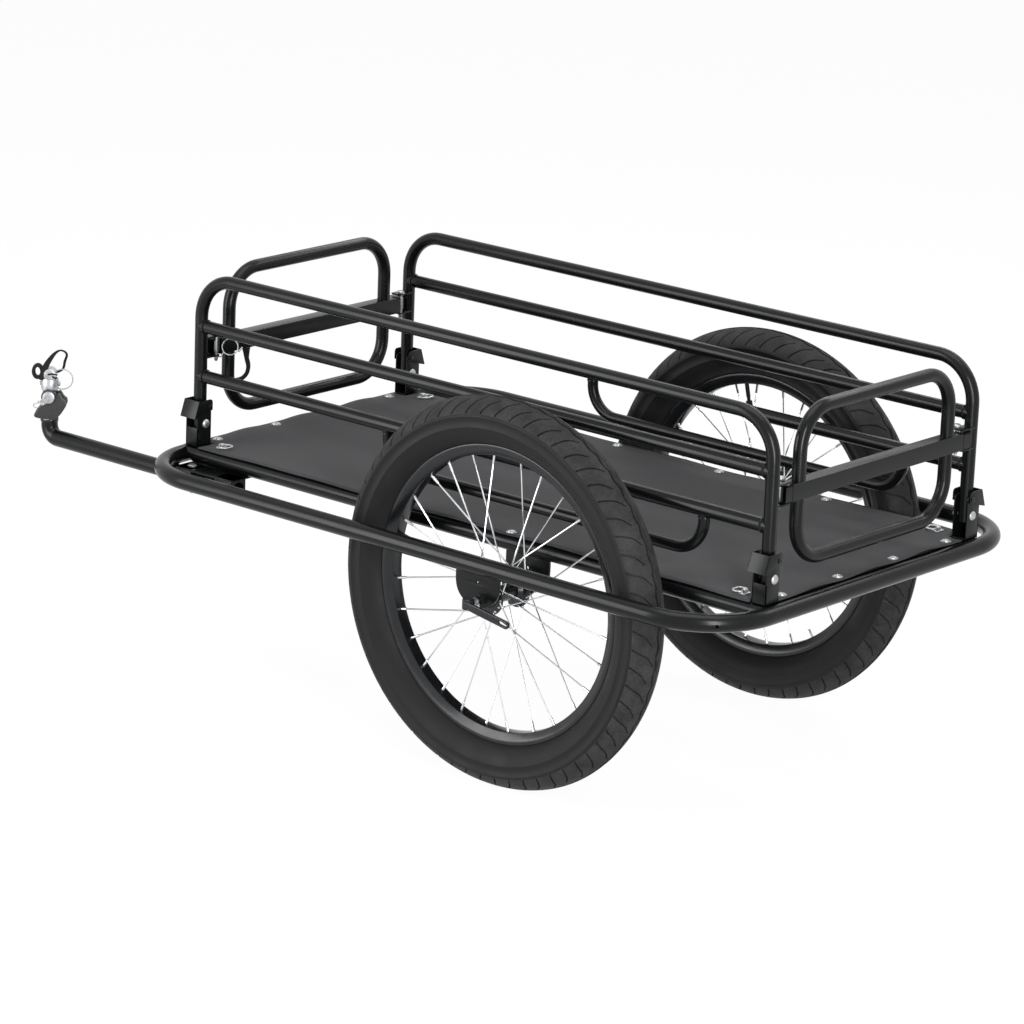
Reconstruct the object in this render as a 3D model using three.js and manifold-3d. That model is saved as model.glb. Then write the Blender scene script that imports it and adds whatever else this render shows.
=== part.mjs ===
// Two-wheel cargo bike trailer with fold-down side panels, lift-off end gates and a bent tow bar.
// Millimetres, +Z up, +X forward towards the tow bar, +Y to the trailer's left.
// The ground is z = 0 and the origin lies under the middle of the overall length and width.

import * as THREE from "three";
import { mergeVertices } from "three/addons/utils/BufferGeometryUtils.js";
import Module from "manifold-3d";

const wasm = await Module();
wasm.setup();

// Fits
const gap = 0.3;
const overrun = 2;
const weld = 0.0001;
const fullTurn = 2 * Math.PI;
const quarterTurn = Math.PI / 2;

// Flats round each kind of shape, and steps along each kind of bend
const frameTubeSides = 12;
const panelTubeSides = 10;
const rodSides = 8;
const roundSides = 16;
const wheelSides = 40;
const hubSides = 20;
const wireSides = 6;
const spokeSides = 4;
const loopBendSteps = 6;
const panelBendSteps = 5;
const gateBendSteps = 4;
const ringBendSteps = 3;

// Main loop, one bent tube that goes round outside both wheels
const loopTube = 25.4;
const loopWidth = 697;
const loopLength = 1074;
const loopRise = 52;
const loopBend = 110;
const drainHole = { radius: 2.6, turn: 0.83, drop: 1 };
const bedForward = 124;

// Wheels, 20 inch rims (406 mm bead seat) with wide tyres
const axleHeight = 276;
const wheelInset = 57.5;
const tyre = { section: 68, wall: 4, height: 66.5, bulgeDrop: 35, beadDepth: 5.5, treadWidth: 50 };
const rim = { width: 30, lip: 2, beadGap: 1, shoulderDepth: 11, bedDepth: 16 };
const rimBed = { width: 12, thickness: 4 };
const valve = { radius: 3.2, length: 38 };
const leftValveSteps = 6;
const rightValveSteps = 1;
const hub = { length: 99.4, barrelRadius: 13, flangeRadius: 23, flangeWidth: 3, flangeSpacing: 56 };
const hubNut = { radius: 9, length: 7 };
const spokes = { count: 28, radius: 1.1, crossings: 2, holeInset: 3 };
const axle = { radius: 4.8, runningGap: 0.25, nutRadius: 9, nutLength: 10 };
const skewer = { camRadius: 8, camLength: 15, postLength: 9, postRadius: 6 };
const lever = { length: 80, thickness: 4.5, width: 11, droop: 0.16, slotLength: 11, slotWidth: 4.5 };

// Deck frame and deck
const railTube = 22;
const railInset = 112.5;
const crossTube = 20;
const midCrossBack = 321;
const deck = { thickness: 2, overhang: 7, endInset: 6, notchAhead: 3, notchBeside: 4 };
const axlePlate = { thickness: 4, width: 78, shoulder: 14, tipRadius: 11, holeRadius: 2.5, holeRise: 26 };

// Side panels, measured up from the top of the main loop
const panelTube = 19;
const panelInset = 11.25;
const postInset = 15;
const panelRise = 252.3;
const panelBend = 60;
const upperRailDrop = 73.5;
const lowerRailRise = 104.3;
const guard = { tube: 16, ahead: 1, behind: 13, drop: 60, bend: 45 };
const foldPivotRise = 34.3;
const postEndDrop = 9.5;

// Fold channels, their bolts and latches, measured from the fold bolt
const channel = { wall: 2, sideGap: 0.3, inner: 11.75, outer: 16.25, topRise: 29, webDrop: 5, corner: 7 };
const foldBolt = { radius: 4, clearance: 0.3, headRadius: 6.8, headLength: 3.5, nutLength: 5 };
const latch = { wall: 1.5, topRise: 36, bottomRise: 11, topOut: 0.35, bottomOut: 8.95, foot: 2.5 };
const latchRivet = { radius: 2.3, headRadius: 3.6, headLength: 1.6, inset: 5.75, rise: 25.25, eye: 5.5 };

// End gates
const gateTube = 19;
const gateInset = 57.05;
const gateTopDrop = 1;
const gateBottomRise = 43.3;
const gateBend = 55;
const gateBar = { height: 24, depth: 22, wall: 1.8, endGap: 7.25, rise: 102 };
const gateLug = { width: 18, beyondPin: 5.5, thickness: 2.5, clearance: 2.1 };
const gatePin = { radius: 3, inset: 25, setIn: 6, headRadius: 5, headLength: 5, tipLength: 7, slotGap: 3 };

// Lashing rings on the deck
const lashRing = { wire: 3, width: 20, length: 16, bend: 6, fromPost: 40, fromEdge: 24 };
const lashBase = { length: 12, width: 16, thickness: 1.5, saddle: 7, crown: 1.2 };

// Tow bar, receiver and hitch
const towTube = 25;
const towInset = 90.5;
const towOverhang = 265;
const towBend = 20;
const towRise = 53.6;
const towClearance = 0.4;
const receiver = { wall: 2.7, collar: 33, rearSetback: 127, frontSetback: 18 };
const hitchPin = { radius: 4, clearance: 0.3, setback: 34, headRadius: 7, headLength: 3, tipLength: 9 };
const coupler = { wall: 2.5, below: 25, above: 16, toe: 22, heel: 12, back: 27, crest: 15, nose: 6 };
const couplerYaw = 0.7;
const sleeve = { radius: 13.3, cone: 5.2, tongueWidth: 12, slotGap: 0.8, pivotDrop: 6, aboveBolt: 12 };
const sleeveBolt = { radius: 3.5, headRadius: 7, headLength: 3.5, rise: 15 };
const pullPin = { radius: 3, rise: 6, headRadius: 5, headLength: 6, tipLength: 4, clearance: 0.3 };
const strap = { width: 12, thickness: 2.4, loopHeight: 28, loopWidth: 24, lean: 12, bend: 7 };
const lanyard = { width: 8, thickness: 2, drop: 44, loopWidth: 20, bend: 8, inset: 26 };

// Finishes
const finishes = {
  blackSteel: { color: 0x1c1d1f, roughness: 0.42, metalness: 0.35 },
  blackAlloy: { color: 0x17181a, roughness: 0.35, metalness: 0.6 },
  zincSteel: { color: 0xbfc2c4, roughness: 0.3, metalness: 0.9 },
  spokeSteel: { color: 0xc9cbcc, roughness: 0.28, metalness: 0.95 },
  rubber: { color: 0x1b1b1c, roughness: 0.85, metalness: 0 },
  deckCloth: { color: 0x46474a, roughness: 0.8, metalness: 0 },
  webbing: { color: 0x141415, roughness: 0.9, metalness: 0 },
};

// Heights and places that follow from the sizes above
const loopHeight = axleHeight + loopRise;
const loopSide = loopWidth / 2;
const loopFront = bedForward + loopLength / 2;
const loopRear = bedForward - loopLength / 2;
const loopRadius = loopTube / 2;
const frameTop = loopHeight + loopRadius;
const wheelSide = loopSide - wheelInset;
const rimEdge = axleHeight - tyre.height;
const bulgeRadius = axleHeight - tyre.bulgeDrop;
const beadRadius = rimEdge - tyre.beadDepth;
const beadSide = rim.width / 2 - rim.lip;
const rimFloor = rimEdge - rim.bedDepth;
const railSide = loopSide - railInset;
const railRadius = railTube / 2;
const railHeight = frameTop - railRadius;
const panelSide = railSide - panelInset;
const panelRadius = panelTube / 2;
const panelTop = frameTop + panelRise;
const upperRailHeight = panelTop - upperRailDrop;
const lowerRailHeight = frameTop + lowerRailRise;
const foldPivotHeight = frameTop + foldPivotRise;
const frontPost = loopFront - postInset;
const rearPost = loopRear + postInset;
const channelFoot = frameTop + gap;
const channelTop = foldPivotHeight + channel.topRise;
const channelHalf = panelRadius + channel.sideGap + channel.wall;
const latchHalf = channelHalf + gap + latch.wall;
const rivetHeight = foldPivotHeight + latchRivet.rise;
const deckBottom = frameTop + gap;
const deckTop = deckBottom + deck.thickness;
const deckHalfWidth = railSide + deck.overhang;
const deckHalfLength = loopLength / 2 - deck.endInset;
const gateSide = panelSide - gateInset;
const gateTop = panelTop - gateTopDrop;
const gateBottom = frameTop + gateBottomRise;
const gateBarMiddle = gateBottom + gateBar.rise;
const towSide = loopSide - towInset;
const towRadius = towTube / 2;
const towHeight = loopHeight - loopRadius - towClearance - towRadius;
const towFront = loopFront + towOverhang;
const towTop = towHeight + towRise;

// Solids: a closed mesh becomes a solid, and a solid becomes a mesh again

function solid(geometry) {
  const plain = geometry.clone();
  plain.deleteAttribute("normal");
  plain.deleteAttribute("uv");
  const merged = mergeVertices(plain, weld);
  return new wasm.Manifold(new wasm.Mesh({
    numProp: 3,
    vertProperties: Float32Array.from(merged.attributes.position.array),
    triVerts: Uint32Array.from(merged.index.array),
  }));
}

function geometryOf(body) {
  const mesh = body.getMesh();
  const geometry = new THREE.BufferGeometry();
  const places = new Float32Array(mesh.numVert * 3);
  for (let i = 0; i < mesh.numVert; i += 1) {
    places.set(mesh.vertProperties.subarray(i * mesh.numProp, i * mesh.numProp + 3), i * 3);
  }
  geometry.setAttribute("position", new THREE.BufferAttribute(places, 3));
  geometry.setIndex(new THREE.BufferAttribute(Uint32Array.from(mesh.triVerts), 1));
  geometry.computeVertexNormals();
  return geometry;
}

function joined(...geometries) {
  return geometries.map(solid).reduce((whole, part) => whole.add(part));
}

function cut(body, ...geometries) {
  return geometries.map(solid).reduce((whole, part) => whole.subtract(part), body);
}

function piece(parent, name, body, finish) {
  const material = new THREE.MeshStandardMaterial(finishes[finish]);
  const mesh = new THREE.Mesh(geometryOf(body), material);
  mesh.name = name;
  parent.add(mesh);
  return mesh;
}

// Shapes

function vec(x, y, z) {
  return new THREE.Vector3(x, y, z);
}

function polygon(radius, sides) {
  const points = [];
  for (let i = 0; i < sides; i += 1) {
    const angle = (i + 0.5) * fullTurn / sides;
    points.push(new THREE.Vector2(radius * Math.cos(angle), radius * Math.sin(angle)));
  }
  return new THREE.Shape(points);
}

function outline(points) {
  return new THREE.Shape(points.map(([x, y]) => new THREE.Vector2(x, y)));
}

function block(x0, x1, y0, y1, z0, z1) {
  const geometry = new THREE.BoxGeometry(x1 - x0, y1 - y0, z1 - z0);
  return geometry.translate((x0 + x1) / 2, (y0 + y1) / 2, (z0 + z1) / 2);
}

// An outline drawn in X and Z, with its thickness between two values of Y
function slabAlongY(shape, y0, y1, curveSegments = rodSides) {
  const geometry = new THREE.ExtrudeGeometry(shape, { depth: y1 - y0, bevelEnabled: false, curveSegments });
  geometry.applyMatrix4(new THREE.Matrix4().makeBasis(vec(1, 0, 0), vec(0, 0, 1), vec(0, -1, 0)));
  return geometry.translate(0, y1, 0);
}

// An outline drawn in Y and Z, with its thickness between two values of X
function slabAlongX(shape, x0, x1, curveSegments = rodSides) {
  const geometry = new THREE.ExtrudeGeometry(shape, { depth: x1 - x0, bevelEnabled: false, curveSegments });
  geometry.applyMatrix4(new THREE.Matrix4().makeBasis(vec(0, 1, 0), vec(0, 0, 1), vec(1, 0, 0)));
  return geometry.translate(x0, 0, 0);
}

// An outline drawn in X and Y, with its thickness between two values of Z
function slabAlongZ(shape, z0, z1, curveSegments = rodSides) {
  const geometry = new THREE.ExtrudeGeometry(shape, { depth: z1 - z0, bevelEnabled: false, curveSegments });
  return geometry.translate(0, 0, z0);
}

// A route made of straight runs and round bends, with one ring at each end of a run and along each bend
class BentRoute extends THREE.Curve {
  constructor(rings, closed) {
    super();
    this.rings = rings;
    this.closed = closed;
    this.steps = closed ? rings.length : rings.length - 1;
  }

  ringAt(share) {
    return this.rings[Math.round(share * this.steps) % this.rings.length];
  }

  getPoint(share, target = vec(0, 0, 0)) {
    return target.copy(this.ringAt(share).point);
  }

  getPointAt(share, target) {
    return this.getPoint(share, target);
  }

  getTangent(share, target = vec(0, 0, 0)) {
    return target.copy(this.ringAt(share).tangent);
  }

  getTangentAt(share, target) {
    return this.getTangent(share, target);
  }
}

function bentRoute(corners, bend, steps, closed = false) {
  const rings = [];
  const count = corners.length;
  corners.forEach((corner, i) => {
    const before = corners[(i - 1 + count) % count];
    const after = corners[(i + 1) % count];
    if (!closed && (i === 0 || i === count - 1)) {
      const tangent = i === 0 ? after.clone().sub(corner) : corner.clone().sub(before);
      rings.push({ point: corner.clone(), tangent: tangent.normalize() });
      return;
    }
    const into = corner.clone().sub(before).normalize();
    const out = after.clone().sub(corner).normalize();
    const turn = into.angleTo(out);
    const start = corner.clone().addScaledVector(into, -bend * Math.tan(turn / 2));
    const axis = into.clone().cross(out).normalize();
    const centre = start.clone().addScaledVector(axis.clone().cross(into), bend);
    for (let step = 0; step <= steps; step += 1) {
      const angle = turn * step / steps;
      const arm = start.clone().sub(centre).applyAxisAngle(axis, angle);
      rings.push({ point: centre.clone().add(arm), tangent: into.clone().applyAxisAngle(axis, angle) });
    }
  });
  return new BentRoute(rings, closed);
}

function tube(route, radius, sides) {
  if (route.closed) return new THREE.TubeGeometry(route, route.steps, radius, sides, true);
  return new THREE.ExtrudeGeometry(polygon(radius, sides), { steps: route.steps, extrudePath: route });
}

// How far the flats of a faceted circle lie inside its corners
function flatShare(sides) {
  return Math.cos(Math.PI / sides);
}

function rod(from, to, radius, sides = rodSides) {
  return tube(bentRoute([from, to], 0, 1), radius, sides);
}

function turned(points, segments = wheelSides) {
  const profile = points.map(([radius, along]) => new THREE.Vector2(radius, along));
  if (THREE.ShapeUtils.area(profile) < 0) profile.reverse();
  return new THREE.LatheGeometry([...profile, profile[0]], segments);
}

const trailer = new THREE.Group();

// Main loop

function loopRoute() {
  const corners = [
    vec(loopFront, loopSide, loopHeight),
    vec(loopRear, loopSide, loopHeight),
    vec(loopRear, -loopSide, loopHeight),
    vec(loopFront, -loopSide, loopHeight),
  ];
  return bentRoute(corners, loopBend, loopBendSteps, true);
}

const fatLoop = tube(loopRoute(), loopRadius + gap, frameTubeSides);

function addLoop() {
  const outward = vec(-Math.sin(drainHole.turn), Math.cos(drainHole.turn), 0);
  const bendCentre = vec(loopRear + loopBend, loopSide - loopBend, loopHeight - drainHole.drop);
  const drain = rod(
    bendCentre.clone().addScaledVector(outward, loopBend),
    bendCentre.clone().addScaledVector(outward, loopBend + loopTube),
    drainHole.radius,
  );
  piece(trailer, "main_loop", cut(solid(tube(loopRoute(), loopRadius, frameTubeSides)), drain), "blackSteel");
}

// Deck frame: two rails along the bed and four cross tubes

function railRoute(side) {
  const y = side * railSide;
  return bentRoute([vec(loopRear, y, railHeight), vec(loopFront, y, railHeight)], 0, 1);
}

function addDeckFrame() {
  const fatRails = [1, -1].map((side) => tube(railRoute(side), railRadius + gap, frameTubeSides));
  for (const [name, side] of [["left", 1], ["right", -1]]) {
    const rail = solid(tube(railRoute(side), railRadius, frameTubeSides));
    piece(trailer, `${name}_deck_rail`, cut(rail, fatLoop), "blackSteel");
  }
  const endInset = loopRadius + gap + crossTube / 2;
  const places = {
    front_cross_tube: loopFront - endInset,
    middle_cross_tube: loopFront - midCrossBack,
    axle_cross_tube: 0,
    rear_cross_tube: loopRear + endInset,
  };
  for (const [name, x] of Object.entries(places)) {
    const half = crossTube / 2;
    const bar = block(x - half, x + half, -railSide, railSide, frameTop - crossTube, frameTop);
    piece(trailer, name, cut(solid(bar), ...fatRails), "blackSteel");
  }
}

// Deck sheet, notched at its corners round the fold channels

function addDeck() {
  const endX = deckHalfLength;
  const sideY = deckHalfWidth;
  const notchX = endX - (postInset - deck.endInset) - channelHalf - deck.notchAhead;
  const notchY = panelSide - channel.inner - deck.notchBeside;
  const points = [
    [endX, -notchY], [endX, notchY], [notchX, notchY], [notchX, sideY],
    [-notchX, sideY], [-notchX, notchY], [-endX, notchY], [-endX, -notchY],
    [-notchX, -notchY], [-notchX, -sideY], [notchX, -sideY], [notchX, -notchY],
  ];
  const sheet = slabAlongZ(outline(points), deckBottom, deckTop).translate(bedForward, 0, 0);
  piece(trailer, "deck_sheet", solid(sheet), "deckCloth");
}

// Axle plates: each hangs from a tube and carries one end of an axle in a slot open at its foot

function axlePlateShape(top) {
  const half = axlePlate.width / 2;
  const shoulder = top - axlePlate.shoulder;
  const slot = axle.radius + gap;
  const shape = new THREE.Shape();
  shape.moveTo(-half, top);
  shape.lineTo(-half, shoulder);
  shape.quadraticCurveTo(-half, axleHeight, -axlePlate.tipRadius, axleHeight - axlePlate.tipRadius);
  shape.lineTo(-slot, axleHeight - axlePlate.tipRadius);
  shape.lineTo(-slot, axleHeight);
  shape.absarc(0, axleHeight, slot, Math.PI, 0, true);
  shape.lineTo(slot, axleHeight - axlePlate.tipRadius);
  shape.lineTo(axlePlate.tipRadius, axleHeight - axlePlate.tipRadius);
  shape.quadraticCurveTo(half, axleHeight, half, shoulder);
  shape.lineTo(half, top);
  const hole = new THREE.Path();
  hole.absarc(0, axleHeight + axlePlate.holeRise, axlePlate.holeRadius, 0, fullTurn, true);
  shape.holes.push(hole);
  return shape;
}

const hubEnd = hub.length / 2 + gap;

function addAxlePlates() {
  for (const [name, side] of [["left", 1], ["right", -1]]) {
    const fatRail = tube(railRoute(side), railRadius + gap, frameTubeSides);
    const places = {
      outer: [wheelSide + hubEnd, loopHeight, fatLoop],
      inner: [wheelSide - hubEnd - axlePlate.thickness, railHeight, fatRail],
    };
    for (const [which, [near, top, carrier]] of Object.entries(places)) {
      const ends = [side * near, side * (near + axlePlate.thickness)].sort((a, b) => a - b);
      const plate = slabAlongY(axlePlateShape(top), ...ends);
      piece(trailer, `${name}_${which}_axle_plate`, cut(solid(plate), carrier), "blackSteel");
    }
  }
}

// Axles with an inner nut and the cam end of a quick-release skewer

function addAxles() {
  const plateReach = hubEnd + axlePlate.thickness + gap;
  for (const [name, side] of [["left", 1], ["right", -1]]) {
    const at = (out) => vec(0, side * (wheelSide + out), axleHeight);
    const nutEnd = plateReach + axle.nutLength;
    const postEnd = plateReach + skewer.postLength;
    const shaft = rod(at(-nutEnd), at(postEnd), axle.radius, roundSides);
    const nut = rod(at(-nutEnd), at(-plateReach), axle.nutRadius, wireSides);
    const post = rod(at(plateReach), at(postEnd), skewer.postRadius, roundSides);
    piece(trailer, `${name}_axle`, joined(shaft, nut, post), "zincSteel");
    addLever(name, side, wheelSide + postEnd + gap);
  }
}

// Quick-release lever: a cam barrel that stands on end beside the axle, and a slotted arm that points back

function addLever(name, side, near) {
  const group = new THREE.Group();
  const middle = near + skewer.camRadius;
  group.position.set(0, side * middle, axleHeight);
  const half = skewer.camLength / 2;
  const barrel = rod(vec(0, 0, -half), vec(0, 0, half), skewer.camRadius, roundSides);
  const armHalf = lever.width / 2;
  const arm = new THREE.Shape();
  arm.moveTo(0, armHalf);
  arm.lineTo(-lever.length + armHalf, armHalf);
  arm.absarc(-lever.length + armHalf, 0, armHalf, quarterTurn, -quarterTurn, false);
  arm.lineTo(0, -armHalf);
  const slotEnd = -lever.length + armHalf;
  const slotHalf = lever.slotWidth / 2;
  const slot = new THREE.Path();
  slot.absarc(slotEnd, 0, slotHalf, quarterTurn, -quarterTurn, false);
  slot.absarc(slotEnd + lever.slotLength, 0, slotHalf, -quarterTurn, quarterTurn, false);
  arm.holes.push(slot);
  const out = skewer.camRadius - lever.thickness;
  const ends = side > 0 ? [out, skewer.camRadius] : [-skewer.camRadius, -out];
  const blade = slabAlongY(arm, ...ends);
  blade.rotateY(-lever.droop);
  piece(group, `${name}_release_lever`, joined(barrel, blade), "blackAlloy");
  trailer.add(group);
}

// Wheels: tyre, rim with its valve, and hub with laced spokes, all turned about Y

function tyreBody() {
  const half = tyre.section / 2;
  const tread = tyre.treadWidth / 2;
  const crown = axleHeight;
  const wall = tyre.wall;
  const rimTop = rimEdge + gap;
  const flank = (rimTop + bulgeRadius) / 2;
  const shoulder = (crown + bulgeRadius) / 2;
  const skin = [
    [beadRadius, beadSide], [rimTop, beadSide], [flank, half - wall / 2],
    [bulgeRadius, half], [shoulder, half - wall / 2], [crown - wall, tread], [crown, 0],
  ];
  const inside = [
    [crown - 2 * wall, 0], [crown - 2 * wall, tread - wall], [shoulder, half - 2 * wall],
    [bulgeRadius, half - wall], [flank, half - 2 * wall], [rimTop, beadSide - wall],
    [beadRadius, beadSide - wall],
  ];
  const mirrored = (points) => points.map(([radius, along]) => [radius, -along]).reverse();
  const profile = [...skin, ...mirrored(skin).slice(1), ...mirrored(inside), ...inside.slice(1)];
  return solid(turned(profile));
}

// The valve stands between two spokes, so many spoke spaces round from the top
function rimBody(valveSteps) {
  const half = rim.width / 2;
  const well = beadSide + gap;
  const side = [
    [rimFloor, rimBed.width / 2], [rimEdge - rim.shoulderDepth, half], [rimEdge, half], [rimEdge, well],
    [beadRadius - rim.beadGap, well],
  ];
  const profile = [...side, ...side.map(([radius, along]) => [radius, -along]).reverse()];
  const ring = solid(turned(profile));
  const stem = rod(
    vec(0, 0, rimFloor + rimBed.thickness),
    vec(0, 0, rimFloor - valve.length),
    valve.radius,
  ).rotateY(valveSteps * fullTurn / spokes.count);
  return ring.add(solid(stem));
}

function spokeGeometry(index) {
  const step = fullTurn / spokes.count;
  const side = index % 2 === 0 ? 1 : -1;
  const lead = Math.floor(index / 2) % 2 === 0 ? 1 : -1;
  const rimAngle = (index + 0.5) * step;
  const hubAngle = rimAngle + lead * spokes.crossings * 2 * step;
  const flangeY = side * (hub.flangeSpacing + lead * hub.flangeWidth) / 2;
  const hubRadius = hub.flangeRadius - spokes.holeInset;
  const rimRadius = rimFloor * flatShare(wheelSides) - gap;
  const from = vec(hubRadius * Math.sin(hubAngle), flangeY, hubRadius * Math.cos(hubAngle));
  const to = vec(rimRadius * Math.sin(rimAngle), side * spokes.radius, rimRadius * Math.cos(rimAngle));
  const reach = spokes.radius * Math.abs(Math.tan(to.angleTo(to.clone().sub(from))));
  to.addScaledVector(to.clone().sub(from).normalize(), -reach);
  return rod(from, to, spokes.radius, spokeSides);
}

function hubBody() {
  const half = hub.length / 2;
  const flange = hub.flangeSpacing / 2;
  const thick = hub.flangeWidth / 2;
  const nutStart = half - hubNut.length;
  const bore = axle.radius + axle.runningGap;
  const side = [
    [hub.barrelRadius, flange - thick], [hub.flangeRadius, flange - thick],
    [hub.flangeRadius, flange + thick], [hub.barrelRadius, flange + thick],
    [hub.barrelRadius, nutStart], [hubNut.radius, nutStart], [hubNut.radius, half], [bore, half],
  ];
  const profile = [...side.map(([radius, along]) => [radius, -along]).reverse(), ...side];
  let body = solid(turned(profile, hubSides));
  for (let i = 0; i < spokes.count; i += 1) body = body.add(solid(spokeGeometry(i)));
  return body;
}

function addWheels() {
  for (const [name, side, valveSteps] of [["left", 1, leftValveSteps], ["right", -1, rightValveSteps]]) {
    const wheel = new THREE.Group();
    wheel.position.set(0, side * wheelSide, axleHeight);
    piece(wheel, `${name}_tyre`, tyreBody(), "rubber");
    piece(wheel, `${name}_rim`, rimBody(valveSteps), "blackAlloy");
    piece(wheel, `${name}_hub_and_spokes`, hubBody(), "spokeSteel");
    trailer.add(wheel);
  }
}

// Side panels: a bent hoop with two posts, an upper rail, and a lower rail with its wheel guard

const lugTop = gateBarMiddle + gateBar.height / 2 + gateLug.clearance;
const lugBottom = gateBarMiddle - gateBar.height / 2 - gap;

function hoopRoute() {
  const foot = foldPivotHeight - postEndDrop;
  const corners = [
    vec(rearPost, 0, foot), vec(rearPost, 0, panelTop), vec(frontPost, 0, panelTop), vec(frontPost, 0, foot),
  ];
  return bentRoute(corners, panelBend, panelBendSteps);
}

function pinPlace(post) {
  return post === frontPost ? post - gatePin.setIn : post + gatePin.setIn;
}

function hoopBody(side) {
  let body = solid(tube(hoopRoute(), panelRadius, panelTubeSides));
  for (const post of [frontPost, rearPost]) {
    const half = gateLug.width / 2;
    const ends = [0, -side * (gatePin.inset + gateLug.beyondPin)].sort((a, b) => a - b);
    const upper = block(post - half, post + half, ...ends, lugTop, lugTop + gateLug.thickness);
    const lower = block(post - half, post + half, ...ends, lugBottom - gateLug.thickness, lugBottom);
    body = body.add(solid(upper)).add(solid(lower));
    const pinX = pinPlace(post);
    const pinY = -side * gatePin.inset;
    const pinHole = rod(
      vec(pinX, pinY, lugBottom - gateLug.thickness - overrun),
      vec(pinX, pinY, lugTop + gateLug.thickness + overrun),
      gatePin.radius + gap,
    );
    const boltHole = rod(
      vec(post - panelTube, 0, foldPivotHeight),
      vec(post + panelTube, 0, foldPivotHeight),
      foldBolt.radius + foldBolt.clearance, roundSides,
    );
    body = cut(body, pinHole, boltHole);
  }
  return body;
}

function railBetweenPosts(height) {
  return rod(vec(rearPost, 0, height), vec(frontPost, 0, height), panelRadius, panelTubeSides);
}

function addPanels() {
  const fatHoop = tube(hoopRoute(), panelRadius + gap, panelTubeSides);
  for (const [name, side] of [["left", 1], ["right", -1]]) {
    const panel = new THREE.Group();
    panel.position.set(0, side * panelSide, 0);
    piece(panel, `${name}_panel_hoop`, hoopBody(side), "blackSteel");
    const upper = cut(solid(railBetweenPosts(upperRailHeight)), fatHoop);
    piece(panel, `${name}_panel_upper_rail`, upper, "blackSteel");
    const front = axleHeight + guard.ahead;
    const rear = -axleHeight - guard.behind;
    const guardCorners = [
      vec(rear, 0, lowerRailHeight), vec(rear, 0, lowerRailHeight - guard.drop),
      vec(front, 0, lowerRailHeight - guard.drop), vec(front, 0, lowerRailHeight),
    ];
    const loop = tube(bentRoute(guardCorners, guard.bend, gateBendSteps), guard.tube / 2, panelTubeSides);
    const lower = cut(joined(railBetweenPosts(lowerRailHeight), loop), fatHoop);
    piece(panel, `${name}_panel_lower_rail_and_guard`, lower, "blackSteel");
    trailer.add(panel);
  }
}

// Fold channels: a U of sheet open to the inside, with the fold bolt across it

function channelBody(side) {
  const half = channelHalf;
  const { inner, outer, corner } = channel;
  const cheek = new THREE.Shape();
  cheek.moveTo(-side * inner, channelFoot);
  cheek.lineTo(side * outer, channelFoot);
  cheek.lineTo(side * outer, channelTop);
  cheek.lineTo(-side * (inner - corner), channelTop);
  cheek.quadraticCurveTo(-side * inner, channelTop, -side * inner, channelTop - corner);
  const whole = solid(slabAlongX(cheek, -half, half));
  const slotEnds = [-side * (inner + overrun), side * (outer - channel.wall)].sort((a, b) => a - b);
  const slot = block(
    -half + channel.wall, half - channel.wall, ...slotEnds, channelFoot + channel.wall, channelTop + overrun,
  );
  const windowEnds = [0, side * (outer + overrun)].sort((a, b) => a - b);
  const webTop = foldPivotHeight - channel.webDrop;
  const window = block(
    -half + channel.wall, half - channel.wall, ...windowEnds, webTop, channelTop + overrun,
  );
  const rivetY = -side * latchRivet.inset;
  const rivetHole = rod(
    vec(-half - overrun, rivetY, rivetHeight), vec(half + overrun, rivetY, rivetHeight),
    latchRivet.radius + gap,
  );
  const bolt = rod(
    vec(-half, 0, foldPivotHeight), vec(half, 0, foldPivotHeight), foldBolt.radius, roundSides,
  );
  const head = rod(
    vec(-half - foldBolt.headLength, 0, foldPivotHeight), vec(-half, 0, foldPivotHeight),
    foldBolt.headRadius, roundSides,
  );
  const nut = rod(
    vec(half, 0, foldPivotHeight), vec(half + foldBolt.nutLength, 0, foldPivotHeight),
    foldBolt.headRadius, wireSides,
  );
  return cut(whole, slot, window, rivetHole).add(solid(bolt)).add(solid(head)).add(solid(nut));
}

// Latches: a flared cap outside each channel, swung on two short rivets

function latchBody(side) {
  const half = latchHalf;
  const top = foldPivotHeight + latch.topRise;
  const bottom = foldPivotHeight + latch.bottomRise;
  const topReach = channel.outer + latch.topOut;
  const bottomReach = channel.outer + latch.bottomOut;
  const innerEdge = -latchRivet.inset - latchRivet.eye;
  const skin = [
    [innerEdge, rivetHeight - latchRivet.eye], [bottomReach - latch.foot, bottom],
    [bottomReach, bottom], [topReach, top], [innerEdge, top],
  ];
  const lip = [
    [innerEdge - overrun, bottom - overrun], [bottomReach - latch.wall, bottom - overrun],
    [bottomReach - latch.wall, bottom], [topReach - latch.wall, top], [topReach - latch.wall, top + overrun],
    [innerEdge - overrun, top + overrun],
  ];
  const turnOut = (points) => outline(points.map(([y, z]) => [side * y, z]));
  const shell = cut(
    solid(slabAlongX(turnOut(skin), -half, half)),
    slabAlongX(turnOut(lip), -half + latch.wall, half - latch.wall),
  );
  const rivetY = -side * latchRivet.inset;
  let body = shell;
  for (const end of [1, -1]) {
    const from = end * (panelRadius + channel.sideGap);
    const stub = rod(
      vec(from, rivetY, rivetHeight),
      vec(end * (half + overrun / 2), rivetY, rivetHeight),
      latchRivet.radius,
    );
    const head = rod(
      vec(end * half, rivetY, rivetHeight),
      vec(end * (half + latchRivet.headLength), rivetY, rivetHeight),
      latchRivet.headRadius,
    );
    body = body.add(solid(stub)).add(solid(head));
  }
  return body;
}

const corners = [
  ["front_left", frontPost, 1], ["front_right", frontPost, -1],
  ["rear_left", rearPost, 1], ["rear_right", rearPost, -1],
];

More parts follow.
